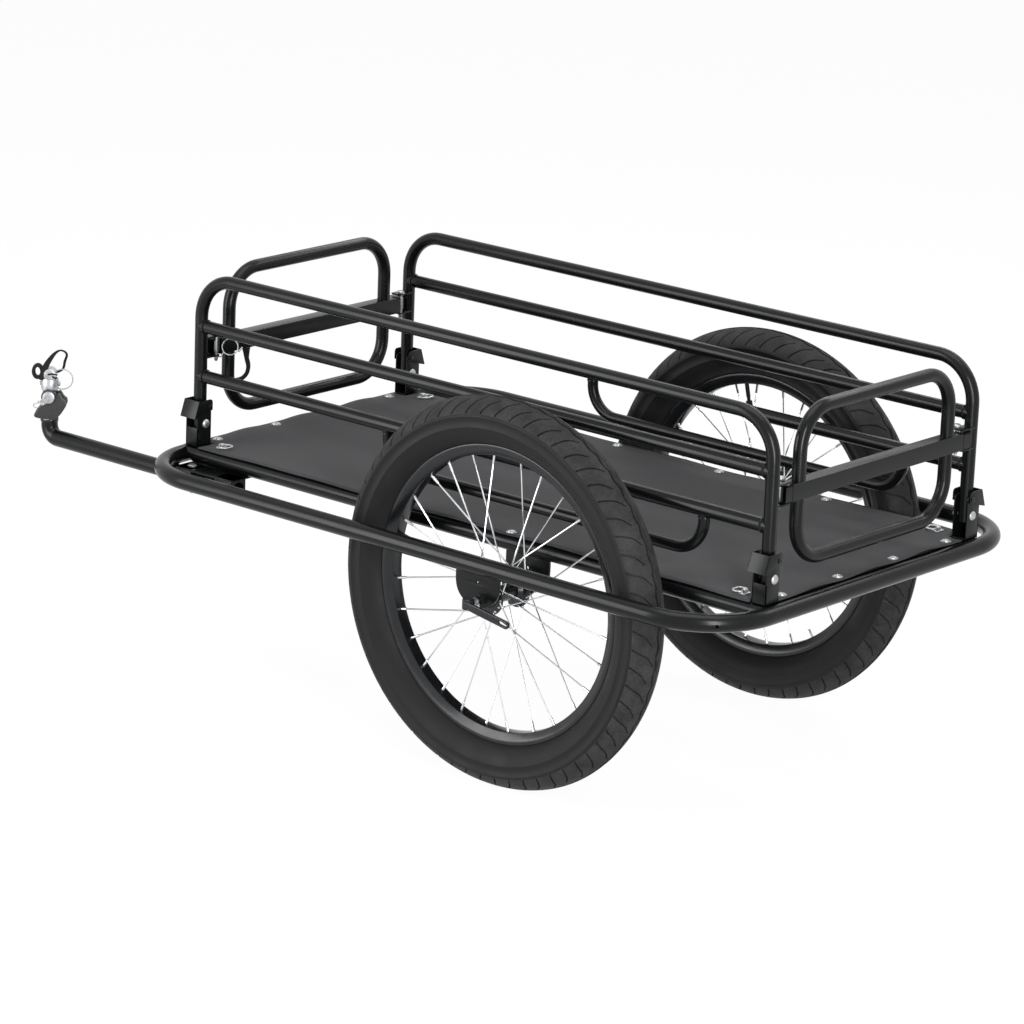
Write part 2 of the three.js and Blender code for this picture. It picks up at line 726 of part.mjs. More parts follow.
function addChannels() {
  for (const [name, post, side] of corners) {
    const corner = new THREE.Group();
    corner.position.set(post, side * panelSide, 0);
    piece(corner, `${name}_fold_channel`, channelBody(side), "blackSteel");
    piece(corner, `${name}_latch`, latchBody(side), "blackSteel");
    trailer.add(corner);
  }
}

// Gates: a closed hoop with a box bar round its two uprights, held by a pin at each end

function gateRoute() {
  const half = gateSide;
  const points = [
    vec(0, half, gateTop), vec(0, half, gateBottom), vec(0, -half, gateBottom), vec(0, -half, gateTop),
  ];
  return bentRoute(points, gateBend, gateBendSteps, true);
}

function gateBarBody(inward) {
  const half = gateBar.depth / 2;
  const end = panelSide - panelRadius - gateBar.endGap;
  const low = gateBarMiddle - gateBar.height / 2;
  const high = gateBarMiddle + gateBar.height / 2;
  const outer = block(-half, half, -end, end, low, high);
  const { wall } = gateBar;
  const hollow = block(-half + wall, half - wall, -end - overrun, end + overrun, low + wall, high - wall);
  let body = cut(solid(outer), hollow, tube(gateRoute(), gateTube / 2 + gap, panelTubeSides));
  for (const side of [1, -1]) {
    const pinX = inward * gatePin.setIn;
    const pinY = side * (panelSide - gatePin.inset);
    const slotHalf = gatePin.radius + gatePin.slotGap;
    const ends = [pinX - inward * slotHalf, inward * (half + overrun)].sort((a, b) => a - b);
    body = cut(body, block(...ends, pinY - slotHalf, pinY + slotHalf, low - overrun, high + overrun));
  }
  return body;
}

function addGates() {
  for (const [name, post, inward] of [["front", frontPost, -1], ["rear", rearPost, 1]]) {
    const gate = new THREE.Group();
    gate.position.set(post, 0, 0);
    piece(gate, `${name}_gate_hoop`, solid(tube(gateRoute(), gateTube / 2, panelTubeSides)), "blackSteel");
    piece(gate, `${name}_gate_bar`, gateBarBody(inward), "blackSteel");
    trailer.add(gate);
  }
}

function addGatePins() {
  const low = lugBottom - gateLug.thickness - gatePin.tipLength;
  const seat = lugTop + gateLug.thickness + gap;
  for (const [name, post, side] of corners) {
    const pin = new THREE.Group();
    pin.position.set(pinPlace(post), side * (panelSide - gatePin.inset), 0);
    const stem = rod(vec(0, 0, low), vec(0, 0, seat), gatePin.radius);
    const head = rod(vec(0, 0, seat), vec(0, 0, seat + gatePin.headLength), gatePin.headRadius, roundSides);
    piece(pin, `${name}_gate_pin`, joined(stem, head), "zincSteel");
    trailer.add(pin);
  }
}

// Lashing rings: a wire D in a saddle that is screwed to the deck

function addLashingRings() {
  const wire = lashRing.wire / 2;
  const barHeight = lashBase.thickness + gap + wire;
  for (const [name, post, side] of corners) {
    const inward = post === frontPost ? -1 : 1;
    const group = new THREE.Group();
    const ringSide = side * (deckHalfWidth - lashRing.fromEdge);
    group.position.set(post + inward * lashRing.fromPost, ringSide, deckTop + gap);
    const halfBase = lashBase.width / 2;
    const halfLength = lashBase.length / 2;
    const plate = block(-halfLength, halfLength, -halfBase, halfBase, 0, lashBase.thickness);
    const saddleHalf = lashBase.saddle / 2;
    const crown = barHeight + wire + gap + lashBase.crown;
    const saddle = block(-halfLength / 2, halfLength / 2, -saddleHalf, saddleHalf, 0, crown);
    const bore = rod(vec(0, -halfBase, barHeight), vec(0, halfBase, barHeight), wire + gap);
    piece(group, `${name}_lashing_saddle`, cut(joined(plate, saddle), bore), "zincSteel");
    const halfWidth = lashRing.width / 2;
    const reach = inward * lashRing.length;
    const points = [
      vec(0, halfWidth, barHeight), vec(0, -halfWidth, barHeight),
      vec(reach, -halfWidth, barHeight), vec(reach, halfWidth, barHeight),
    ];
    const ring = tube(bentRoute(points, lashRing.bend, ringBendSteps, true), wire, wireSides);
    piece(group, `${name}_lashing_ring`, solid(ring), "zincSteel");
    trailer.add(group);
  }
}

// Tow bar and its receiver: two square collars under a shelf that lies against the deck rail

function towRoute() {
  const points = [
    vec(loopFront - receiver.rearSetback, towSide, towHeight),
    vec(towFront, towSide, towHeight),
    vec(towFront, towSide, towTop),
  ];
  return bentRoute(points, towBend, gateBendSteps);
}

function addTowBar() {
  const boreRadius = towRadius + gap;
  const half = boreRadius + receiver.wall;
  const rear = loopFront - receiver.rearSetback;
  const front = loopFront - receiver.frontSetback;
  const pinX = loopFront - hitchPin.setback;
  const pinReach = half + hitchPin.tipLength;
  const pinHole = rod(
    vec(pinX, towSide, towHeight - pinReach), vec(pinX, towSide, towHeight + pinReach),
    hitchPin.radius + hitchPin.clearance,
  );
  const bar = solid(tube(towRoute(), towRadius, frameTubeSides));
  piece(trailer, "tow_bar", cut(bar, pinHole), "blackSteel");
  const shelf = block(
    rear, front, railSide - railRadius, towSide + half, towHeight + boreRadius, towHeight + half,
  );
  const collars = [rear, front - receiver.collar].map((x) => block(
    x, x + receiver.collar, towSide - half, towSide + half, towHeight - half, towHeight + half,
  ));
  const bore = rod(
    vec(rear - overrun, towSide, towHeight), vec(front + overrun, towSide, towHeight),
    boreRadius, frameTubeSides,
  );
  const fatRail = tube(railRoute(1), railRadius + gap, frameTubeSides);
  piece(trailer, "tow_receiver", cut(joined(shelf, ...collars), bore, pinHole, fatRail), "blackSteel");
  const seat = towHeight + half + gap;
  const stem = rod(
    vec(pinX, towSide, towHeight - pinReach), vec(pinX, towSide, seat), hitchPin.radius,
  );
  const head = rod(
    vec(pinX, towSide, seat), vec(pinX, towSide, seat + hitchPin.headLength),
    hitchPin.headRadius, roundSides,
  );
  piece(trailer, "tow_bar_pin", joined(stem, head), "zincSteel");
}

// Hitch: a swivel block on the tow bar's end, a sleeve that rocks in it, its pull pin and the safety strap

function addHitch() {
  const hitch = new THREE.Group();
  hitch.position.set(towFront, towSide, 0);
  hitch.rotation.z = couplerYaw;
  const half = coupler.back;
  const deep = towRadius + coupler.wall;
  const bottom = towTop - coupler.below;
  const top = towTop + coupler.above;
  const { toe, heel, back, crest, nose } = coupler;
  const middle = (bottom + top) / 2;
  const face = [
    [-heel, bottom], [heel, bottom], [toe, bottom + nose], [nose, top], [-crest, top],
    [-back, middle + nose], [-back, middle], [-toe, middle - nose],
  ];
  const socket = rod(
    vec(0, 0, bottom - overrun), vec(0, 0, towTop + gap), (towRadius + gap) / flatShare(roundSides),
    roundSides,
  );
  const pivot = top - sleeve.pivotDrop;
  const tongue = sleeve.tongueWidth / 2;
  const slotHalf = tongue + sleeve.slotGap;
  const slotFloor = pivot - tongue - sleeve.slotGap;
  const slot = block(-half - overrun, half + overrun, -slotHalf, slotHalf, slotFloor, top + overrun);
  const bolt = rod(vec(0, -deep, pivot), vec(0, deep, pivot), sleeveBolt.radius);
  const heads = [1, -1].map((end) => rod(
    vec(0, end * deep, pivot), vec(0, end * (deep + sleeveBolt.headLength), pivot),
    sleeveBolt.headRadius, wireSides,
  ));
  let swivel = cut(solid(slabAlongY(outline(face), -deep, deep)), socket, slot);
  swivel = swivel.add(solid(bolt)).add(solid(heads[0])).add(solid(heads[1]));
  piece(hitch, "hitch_swivel_block", swivel, "blackAlloy");

  const collar = top + sleeve.slotGap;
  const coneTop = collar + sleeve.cone;
  const pinHeight = coneTop + pullPin.rise;
  const boltHeight = pinHeight + sleeveBolt.rise;
  const sleeveTop = boltHeight + sleeve.aboveBolt;
  const barrel = turned([
    [0, collar], [tongue, collar], [sleeve.radius, coneTop], [sleeve.radius, sleeveTop], [0, sleeveTop],
  ], roundSides).rotateX(quarterTurn);
  const root = rod(vec(0, -tongue, pivot), vec(0, tongue, pivot), tongue, roundSides);
  const tab = block(-tongue, tongue, -tongue, tongue, pivot, coneTop);
  const pivotHole = rod(vec(0, -deep, pivot), vec(0, deep, pivot), sleeveBolt.radius + gap);
  const pinHole = rod(
    vec(-half, 0, pinHeight), vec(half, 0, pinHeight), pullPin.radius + pullPin.clearance,
  );
  const crossHeads = rod(
    vec(0, -sleeve.radius - sleeveBolt.headLength, boltHeight),
    vec(0, sleeve.radius + sleeveBolt.headLength, boltHeight),
    sleeveBolt.headRadius, roundSides,
  );
  const sleeveSolid = cut(joined(barrel, root, tab), pivotHole, pinHole).add(solid(crossHeads));
  piece(hitch, "hitch_sleeve", sleeveSolid, "zincSteel");

  const pinOut = sleeve.radius + gap;
  const stem = rod(
    vec(-pinOut, 0, pinHeight), vec(sleeve.radius + pullPin.tipLength, 0, pinHeight), pullPin.radius,
  );
  const knob = rod(
    vec(-pinOut - pullPin.headLength, 0, pinHeight), vec(-pinOut, 0, pinHeight), pullPin.headRadius,
  );
  piece(hitch, "hitch_pull_pin", joined(stem, knob), "zincSteel");

  const strapFoot = sleeveTop + gap + strap.thickness / 2;
  const strapTop = sleeveTop + strap.loopHeight;
  const strapPoints = [
    vec(-strap.loopWidth / 2 - strap.lean / 2, 0, strapFoot),
    vec(strap.loopWidth / 2 - strap.lean / 2, 0, strapFoot),
    vec(strap.loopWidth / 2 - strap.lean, 0, strapTop),
    vec(-strap.loopWidth / 2 - strap.lean, 0, strapTop - strap.lean / 2),
  ];
  piece(hitch, "safety_strap", flatLoop(strapPoints, strap), "webbing");
  trailer.add(hitch);
}

// A closed loop of flat webbing in the plane of its points, its width across that plane
function flatLoop(points, band) {
  const route = bentRoute(points, band.bend, ringBendSteps, true);
  const shape = (grow) => {
    const ring = route.rings.map(({ point, tangent }) => {
      const out = new THREE.Vector2(tangent.z, -tangent.x);
      return [point.x + out.x * grow, point.z + out.y * grow];
    });
    return outline(ring);
  };
  const half = band.thickness / 2;
  const ends = [points[0].y - band.width / 2, points[0].y + band.width / 2];
  return cut(
    solid(slabAlongY(shape(half), ...ends)),
    slabAlongY(shape(-half), ends[0] - overrun, ends[1] + overrun),
  );
}

// Lanyard loop that hangs under the front gate's bar

function addLanyard() {
  const group = new THREE.Group();
  group.position.set(frontPost, gateSide - lanyard.inset, 0);
  group.rotation.z = quarterTurn;
  const top = gateBarMiddle - gateBar.height / 2 - gap - lanyard.thickness / 2;
  const half = lanyard.loopWidth / 2;
  const points = [
    vec(-half, 0, top - lanyard.drop), vec(half, 0, top - lanyard.drop),
    vec(half, 0, top), vec(-half, 0, top),
  ];
  piece(group, "gate_lanyard", flatLoop(points, lanyard), "webbing");
  trailer.add(group);
}

addLoop();
addDeckFrame();
addDeck();
addAxlePlates();
addAxles();
addWheels();
addPanels();
addChannels();
addGates();
addGatePins();
addLashingRings();
addTowBar();
addHitch();
addLanyard();

// The origin moves from the axle to the middle of the overall length
const reach = new THREE.Box3().setFromObject(trailer, true);
trailer.position.x = -(reach.min.x + reach.max.x) / 2;
trailer.updateMatrixWorld(true);

export default trailer;
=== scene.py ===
import math

import bmesh
import bpy
from bpy.props import FloatProperty, IntProperty, PointerProperty, StringProperty
from mathutils import Matrix, Quaternion, Vector


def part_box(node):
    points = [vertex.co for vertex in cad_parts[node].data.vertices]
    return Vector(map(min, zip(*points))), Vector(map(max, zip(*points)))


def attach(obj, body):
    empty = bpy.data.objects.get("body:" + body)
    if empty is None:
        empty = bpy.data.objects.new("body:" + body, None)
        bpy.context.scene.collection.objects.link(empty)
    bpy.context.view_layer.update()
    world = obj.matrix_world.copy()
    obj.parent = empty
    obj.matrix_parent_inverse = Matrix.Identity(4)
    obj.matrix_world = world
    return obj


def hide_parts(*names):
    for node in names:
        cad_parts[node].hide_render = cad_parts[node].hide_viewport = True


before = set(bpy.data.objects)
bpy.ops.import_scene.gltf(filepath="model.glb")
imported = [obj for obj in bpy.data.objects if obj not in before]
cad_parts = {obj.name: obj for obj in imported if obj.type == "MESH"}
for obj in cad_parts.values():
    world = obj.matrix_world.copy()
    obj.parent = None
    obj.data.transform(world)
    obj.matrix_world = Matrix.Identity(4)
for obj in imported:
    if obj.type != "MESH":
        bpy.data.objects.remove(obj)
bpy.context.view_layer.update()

bl_info = {
    "name": "Cargo bike trailer",
    "version": (1, 0, 0),
    "blender": (4, 5, 0),
    "location": "View3D > Sidebar > Trailer",
    "description": "Builds a two-wheel cargo bike trailer on its measured frame",
    "category": "Object",
}

# Every shape below is drawn in millimetres and stored in metres
MM = 0.001
X = Vector((1, 0, 0))
Y = Vector((0, 1, 0))
Z = Vector((0, 0, 1))
SIDES = {"left": 1, "right": -1}
BOTH_WAYS = (1, -1)
FULL_TURN = 2 * math.pi
QUARTER_TURN = math.pi / 2


def span(node):
    """The lowest and highest corners of a frame node, in millimetres."""
    low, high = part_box(node)
    return low / MM, high / MM


def middle(node):
    low, high = span(node)
    return (low + high) / 2


def inside_out(node, sign):
    """Y at the face of a node that looks to the trailer's middle, and at its outer face."""
    low, high = span(node)
    return (low.y, high.y) if sign > 0 else (high.y, low.y)


def at_height(spot, z):
    return Vector((spot.x, spot.y, z))


# Places read from the frame
LOOP_LOW, LOOP_HIGH = span("main_loop")
LOOP_RADIUS = (LOOP_HIGH.z - LOOP_LOW.z) / 2
HOOP_LOW, HOOP_HIGH = span("left_panel_hoop")
DECK_LOW, DECK_HIGH = span("deck_sheet")
PANEL_RADIUS = (span("left_panel_upper_rail")[1].y - span("left_panel_upper_rail")[0].y) / 2
PANEL_SIDE = middle("left_panel_upper_rail").y
UPPER_RAIL = middle("left_panel_upper_rail").z
FRONT_POST = HOOP_HIGH.x - PANEL_RADIUS
REAR_POST = HOOP_LOW.x + PANEL_RADIUS
PANEL_TOP = HOOP_HIGH.z - PANEL_RADIUS
AXLE_TUBE = middle("axle_cross_tube").x
WHEEL = middle("left_tyre")
TYRE_RADIUS = WHEEL.z
RIM_RADIUS = (span("left_rim")[1].z - span("left_rim")[0].z) / 2
GATE_BAR_LOW, GATE_BAR_HIGH = span("front_gate_bar")
TOW_LOW, TOW_HIGH = span("tow_bar")
TOW_SIDE = middle("tow_bar_pin").y

# Each corner's name, its post's X and the sign of its side
CORNERS = [
    ("front_left", FRONT_POST, 1),
    ("front_right", FRONT_POST, -1),
    ("rear_left", REAR_POST, 1),
    ("rear_right", REAR_POST, -1),
]


class TrailerSizes(bpy.types.PropertyGroup):
    """Sizes that the frame doesn't give."""

    tube_sides: IntProperty(
        name="Tube sides", description="Flats round each tube", default=32, min=8, max=64)
    loop_bend: FloatProperty(
        name="Loop bend", description="Bend radius of the main loop's corners",
        default=0.110, unit="LENGTH")
    panel_bend: FloatProperty(
        name="Panel bend", description="Bend radius of a side panel's corners",
        default=0.060, unit="LENGTH")
    gate_bend: FloatProperty(
        name="Gate bend", description="Bend radius of a gate's corners",
        default=0.055, unit="LENGTH")
    lower_rail: FloatProperty(
        name="Lower rail", description="Height of a side panel's lower rail",
        default=0.445, unit="LENGTH")
    spokes: IntProperty(
        name="Spokes", description="Spokes in each wheel", default=28, min=12, max=40)
    tread_pitch: FloatProperty(
        name="Tread pitch", description="Distance from one tread groove to the next",
        default=0.028, unit="LENGTH")
    tread_depth: FloatProperty(
        name="Tread depth", description="Depth of the tread grooves",
        default=0.0028, unit="LENGTH")


class TrailerColours(bpy.types.PropertyGroup):
    """The finishes' colours, as sRGB hex values."""

    powder_coat: StringProperty(
        name="Powder coat", description="Satin black on the tubes", default="#0c0d0e")
    anodising: StringProperty(
        name="Anodising", description="Black on the rims, hubs and levers", default="#121316")
    tyre_rubber: StringProperty(
        # The tread's lighter grey is partly painted light on the tyre's upward face and partly
        # dust
        name="Tyre rubber", description="Vulcanised rubber", default="#161617")
    tread_colour_lit_and_dusted: StringProperty(
        name="Tread rubber", description="Dusted rubber of the tread", default="#262627")
    deck_cloth: StringProperty(
        name="Deck cloth", description="Coated cloth of the deck", default="#424244")
    webbing: StringProperty(
        name="Webbing", description="Nylon webbing", default="#151517")
    nylon: StringProperty(
        name="Nylon", description="Moulded nylon of the hitch", default="#222224")
    zinc: StringProperty(
        name="Zinc", description="Bright zinc plate", default="#b4b6b8")
    stainless: StringProperty(
        name="Stainless", description="Drawn stainless spokes", default="#dcdddf")


# Materials

# The part of a noise's range that its values fill
NOISE_RANGE = (0.3, 0.7)
# Radians of a wave texture's phase for each unit of its scale
WAVE_PHASE = 20


def linear(colour, factor=1.0):
    """The linear RGBA of an sRGB hex colour, made darker or lighter by a factor."""
    parts = [int(colour[i:i + 2], 16) / 255 for i in (1, 3, 5)]
    parts = [c / 12.92 if c <= 0.04045 else ((c + 0.055) / 1.055) ** 2.4 for c in parts]
    return [c * factor for c in parts] + [1.0]


def add_node(tree, kind, settings=None, inputs=None):
    """A node with its settings, its constant inputs, and the sockets or nodes that feed it."""
    node = tree.nodes.new(kind)
    for name, value in (settings or {}).items():
        setattr(node, name, value)
    for name, value in (inputs or {}).items():
        if isinstance(value, bpy.types.Node):
            value = value.outputs[0]
        if isinstance(value, bpy.types.NodeSocket):
            tree.links.new(value, node.inputs[name])
        else:
            node.inputs[name].default_value = value
    return node


def empty_tree(owner):
    """The node tree of a new material or world, with nothing in it."""
    owner.use_nodes = True
    owner.node_tree.nodes.clear()
    return owner.node_tree


def pattern(tree, size_mm, detail=2.0, bands=None, distortion=0.0):
    """Noise with grains of about size_mm, or bands that far apart along one axis."""
    place = tree.nodes.get("place") or add_node(tree, "ShaderNodeTexCoord", {"name": "place"})
    inputs = {"Vector": place.outputs["Object"]}
    if bands:
        inputs |= {"Scale": FULL_TURN / (size_mm * MM) / WAVE_PHASE, "Distortion": distortion}
        made = add_node(tree, "ShaderNodeTexWave", {"bands_direction": bands}, inputs)
    else:
        inputs |= {"Scale": 1 / (size_mm * MM), "Detail": detail}
        made = add_node(tree, "ShaderNodeTexNoise", inputs=inputs)
    return made.outputs["Fac"]


def finished(material, colour, tones, share, constants, gloss=None, relief=None):
    """The material, with its shader joined to its patterns.

    Its tone lies between two shades of the colour. Share is a pattern and the values that give
    the one and the other; gloss is a noise and the roughness at its ends; relief is a pattern,
    its depth in millimetres and its strength.
    """
    tree = material.node_tree
    spreads = [(*share, (0, 1))]
    if gloss:
        spreads.append((gloss[0], NOISE_RANGE, gloss[1]))
    spreads = [add_node(tree, "ShaderNodeMapRange", inputs={
        "Value": value, "From Min": full[0], "From Max": full[1],
        "To Min": reach[0], "To Max": reach[1]}) for value, full, reach in spreads]
    dark, light = (linear(colour, tone) for tone in tones)
    mix = add_node(tree, "ShaderNodeMix", {"data_type": "RGBA"}, {
        "Factor": spreads[0], "A": dark, "B": light})
    inputs = {**constants, "Base Color": mix.outputs["Result"]}
    if gloss:
        inputs["Roughness"] = spreads[1]
    if relief:
        height, depth_mm, strength = relief
        inputs["Normal"] = add_node(tree, "ShaderNodeBump", inputs={
            "Height": height, "Distance": depth_mm * MM, "Strength": strength})
    shader = add_node(tree, "ShaderNodeBsdfPrincipled", inputs=inputs)
    add_node(tree, "ShaderNodeOutputMaterial", inputs={"Surface": shader})
    return material


def clouded(name, colour, cloud, tones, roughness, grain, constants):
    """A material whose tone and gloss drift with one soft cloud, over a fine grain.

    The cloud is a size in millimetres and its detail; the grain is a size and a depth.
    """
    material = bpy.data.materials.new(name)
    tree = empty_tree(material)
    drift = pattern(tree, *cloud)
    relief = (pattern(tree, grain[0]), grain[1], 1.0) if grain else None
    return finished(
        material, colour, tones, (drift, NOISE_RANGE), constants, (drift, roughness), relief)


def satin_powder_coat(colours):
    # Baked epoxy powder: satin, with a faint orange peel that breaks up the long highlights
    return clouded("satin_powder_coat", colours.powder_coat, (60, 2), (0.9, 1.15), (0.22, 0.28),
                   (2.4, 0.02), {"IOR": 1.5, "Specular IOR Level": 0.22})


def black_anodised(colours):
    # Extruded aluminium under a dyed oxide skin: dark, with a hard bright sheen
    return clouded("black_anodised_aluminium", colours.anodising, (25, 2), (0.9, 1.3),
                   (0.2, 0.28), (0.8, 0.01), {"IOR": 1.5, "Specular IOR Level": 0.38})


def vulcanised_rubber(colours):
    # Moulded carbon-black rubber: matt, a little greyer where the release agent has dried
    return clouded("vulcanised_rubber", colours.tyre_rubber, (45, 4), (0.85, 1.25), (0.5, 0.66),
                   (1.2, 0.05), {"IOR": 1.52, "Specular IOR Level": 0.2})


def lit_and_dusted_tread_material(colours):
    # The same rubber where it meets the road, drawn greyer than the sidewall: partly painted
    # light, since the tread faces up to the lamps, and partly dust, with worn patches among fine
    # scuffs
    material = bpy.data.materials.new("lit_and_dusted_tread_material")
    tree = empty_tree(material)
    streaks = pattern(tree, 3, 4)
    worn = add_node(tree, "ShaderNodeMath", {"operation": "MULTIPLY"}, {
        0: streaks, 1: pattern(tree, 22, 3)})
    return finished(
        material, colours.tread_colour_lit_and_dusted, (0.7, 1.9), (worn, (0.14, 0.38)),
        {"IOR": 1.52, "Specular IOR Level": 0.2}, (streaks, (0.6, 0.75)),
        (pattern(tree, 1.0), 0.06, 1.0))


def coated_deck_cloth(colours):
    # Plain-woven polyester with a matt coating: an even grey with a fine crossed grain.
    # Real threads lie 0.5 mm apart; they are drawn 1.6 mm apart so that the weave shows.
    thread_mm = 1.6
    material = bpy.data.materials.new("coated_deck_cloth")
    tree = empty_tree(material)
    cloud = pattern(tree, 90, 3)
    fleck = add_node(tree, "ShaderNodeMath", {"operation": "MULTIPLY"}, {
        0: cloud, 1: pattern(tree, 1.4)})
    weave = add_node(tree, "ShaderNodeMath", {"operation": "MAXIMUM"}, {
        i: pattern(tree, thread_mm, bands=way) for i, way in enumerate("XY")})
    return finished(
        material, colours.deck_cloth, (0.84, 1.14), (fleck, (0.12, 0.38)),
        {"IOR": 1.5, "Specular IOR Level": 0.15, "Sheen Weight": 0.06}, (cloud, (0.66, 0.78)),
        (weave, 0.12, 0.7))


def nylon_webbing(colours):
    # Flat woven nylon tape: matt, with close ribs across it, 1.2 mm apart
    material = bpy.data.materials.new("woven_nylon_webbing")
    tree = empty_tree(material)
    ribs = pattern(tree, 1.2, bands="Z", distortion=0.6)
    return finished(
        material, colours.webbing, (0.8, 1.6), (ribs, (0, 1)),
        {"IOR": 1.53, "Specular IOR Level": 0.2, "Roughness": 0.75, "Sheen Weight": 0.05},
        relief=(ribs, 0.15, 1.0))


def moulded_nylon(colours):
    # Injection-moulded glass-filled nylon: charcoal, dull, with a spark-eroded grain
    return clouded("moulded_glass_filled_nylon", colours.nylon, (12, 3), (0.85, 1.2),
                   (0.42, 0.56), (0.6, 0.03), {"IOR": 1.53})


def bright_zinc(colours):
    # Barrel-plated zinc: bright, slightly cloudy, with fine handling marks
    return clouded("bright_zinc_plate", colours.zinc, (5, 3), (0.85, 1.1), (0.34, 0.52),
                   (0.9, 0.01), {"Metallic": 1.0})


def drawn_stainless(colours):
    # Cold-drawn stainless wire: very bright along its length
    return clouded("drawn_stainless_wire", colours.stainless, (8, 2), (0.95, 1.05),
                   (0.18, 0.26), None, {"Metallic": 1.0})


FINISHES = {
    "black_steel": satin_powder_coat,
    "black_alloy": black_anodised,
    "tyre": vulcanised_rubber,
    "tread": lit_and_dusted_tread_material,
    "deck_cloth": coated_deck_cloth,
    "webbing": nylon_webbing,
    "nylon": moulded_nylon,
    "zinc_steel": bright_zinc,
    "spoke_steel": drawn_stainless,
}
# The materials made so far, by finish name
made_finishes = {}


def finish_named(name):
    if name not in made_finishes:
        made_finishes[name] = FINISHES[name](bpy.context.scene.trailer_colours)
    return made_finishes[name]


# Mesh tools: each works in millimetres on a bmesh. A profile is a list of (radius, along).

SMOOTH_BELOW = 35
RIBBON_STEPS = 6


def circle(radius, sides):
    steps = [(i + 0.5) * FULL_TURN / sides for i in range(sides)]
    return [(radius * math.cos(a), radius * math.sin(a)) for a in steps]


# Where a hole's points end, in quarter turns
HOLE_END = 3.8


def arc(cx, cy, radius, start, end, steps=10):
    """Points on an arc; the angles are in quarter turns."""
    angles = [(start + (end - start) * i / steps) * QUARTER_TURN for i in range(steps + 1)]
    return [(cx + radius * math.cos(a), cy + radius * math.sin(a)) for a in angles]


def hole(cx, cy, radius, steps):
    """A small round hole's points, which stop short of the first one."""
    return arc(cx, cy, radius, 0, HOLE_END, steps)


def round_box(width, depth, corner, steps=4):
    """A rectangle with rounded corners, as points."""
    points = []
    for quarter, (sx, sy) in enumerate([(1, 1), (-1, 1), (-1, -1), (1, -1)]):
        points += arc(sx * (width / 2 - corner), sy * (depth / 2 - corner), corner,
                      quarter, quarter + 1, steps)
    return points


def curve_between(start, control, end, steps=10):
    """Points on the soft curve that leaves start and reaches end in line with control."""
    shares = [i / steps for i in range(steps + 1)]
    return [tuple((1 - t) ** 2 * a + 2 * t * (1 - t) * b + t * t * c
                  for a, b, c in zip(start, control, end)) for t in shares]


def bent_line(corners, bend, steps=10, closed=False):
    """Points and tangents along straight runs that are joined by round bends."""
    line = []
    count = len(corners)
    corners = [Vector(c) for c in corners]
    for i, corner in enumerate(corners):
        if not closed and i in (0, count - 1):
            run = corners[1] - corners[0] if i == 0 else corners[-1] - corners[-2]
            line.append((corner.copy(), run.normalized()))
            continue
        into = (corner - corners[i - 1]).normalized()
        out = (corners[(i + 1) % count] - corner).normalized()
        turned = into.angle(out)
        start = corner - into * bend * math.tan(turned / 2)
        axis = into.cross(out).normalized()
        centre = start + axis.cross(into) * bend
        for step in range(steps + 1):
            swing = Quaternion(axis, turned * step / steps)
            line.append((centre + swing @ (start - centre), swing @ into))
    return line


def skin(bm, rings, closed=False):
    """Faces from ring to ring, and one over each end of an open row; returns the sides."""
    sides = []
    for near, far in zip(rings, rings[1:] + rings[:1] if closed else rings[1:]):
        for i in range(len(near)):
            j = (i + 1) % len(near)
            sides.append(bm.faces.new((near[i], near[j], far[j], far[i])))
    if not closed:
        bm.faces.new(rings[0])
        bm.faces.new(rings[-1])
    return sides


def ring_of(bm, point, tangent, section, up):
    side = up.cross(tangent).normalized()
    return [bm.verts.new(point + side * a + up * b) for a, b in section]


def sweep(bm, line, section, up, closed=False):
    """Carries a section along a flat line; up is square to the line's plane."""
    skin(bm, [ring_of(bm, point, tangent, section, up) for point, tangent in line], closed)


def tube(bm, corners, bend, radius, up, closed=False, steps=10):
    section = circle(radius, sizes().tube_sides)
    sweep(bm, bent_line(corners, bend, steps, closed), section, up, closed)


def straight(bm, start, end, radius, sides=24):
    start, end = Vector(start), Vector(end)
    along = (end - start).normalized()
    up = along.orthogonal().normalized()
    sweep(bm, [(start, along), (end, along)], circle(radius, sides), up)


def bar(bm, centre, start, end, section):
    """A bar along Y from start to end, with its section round the centre."""
    sweep(bm, [(Vector((centre.x, y, centre.z)), Y) for y in (start, end)], section, Z)


def ribbon(bm, corners, up, widths, thickness):
    """A strap along a smoothed line, as wide at each corner as widths says.

    Its width lies in the line's plane.
    """
    count = len(corners)
    line, wide = [], []
    for i in range(count - 1):
        a, b, c, d = (corners[min(max(k, 0), count - 1)] for k in (i - 1, i, i + 1, i + 2))
        for step in range(RIBBON_STEPS + (i == count - 2)):
            t = step / RIBBON_STEPS
            line.append(0.5 * (2 * b + (c - a) * t + (2 * a - 5 * b + 4 * c - d) * t ** 2
                               + (3 * b - a - 3 * c + d) * t ** 3))
            wide.append(widths[i] + (widths[i + 1] - widths[i]) * t)
    rings = []
    for i, (spot, width) in enumerate(zip(line, wide)):
        tangent = line[min(i + 1, len(line) - 1)] - line[max(i - 1, 0)]
        rings.append(ring_of(bm, spot, tangent.normalized(),
                             round_box(width, thickness, thickness * 0.35), up))
    skin(bm, rings)


def turn(bm, profile, centre, axis, segments=48):
    """Turns a profile round an axis; it closes on itself or on the axis."""
    centre = Vector(centre)
    axis = Vector(axis).normalized()
    side = axis.orthogonal().normalized()
    arms = [Quaternion(axis, FULL_TURN * i / segments) @ side for i in range(segments)]
    rings = [[bm.verts.new(centre + axis * along + arm * radius)
              for arm in (arms if radius > 1e-6 else arms[:1])] for radius, along in profile]
    pairs = list(zip(rings, rings[1:]))
    if len(rings[0]) > 1 and len(rings[-1]) > 1:
        pairs.append((rings[-1], rings[0]))
    for near, far in pairs:
        for i in range(segments):
            j = (i + 1) % segments
            corners = [near[i % len(near)], near[j % len(near)],
                       far[j % len(far)], far[i % len(far)]]
            unique = list(dict.fromkeys(corners))
            if len(unique) > 2:
                bm.faces.new(unique)


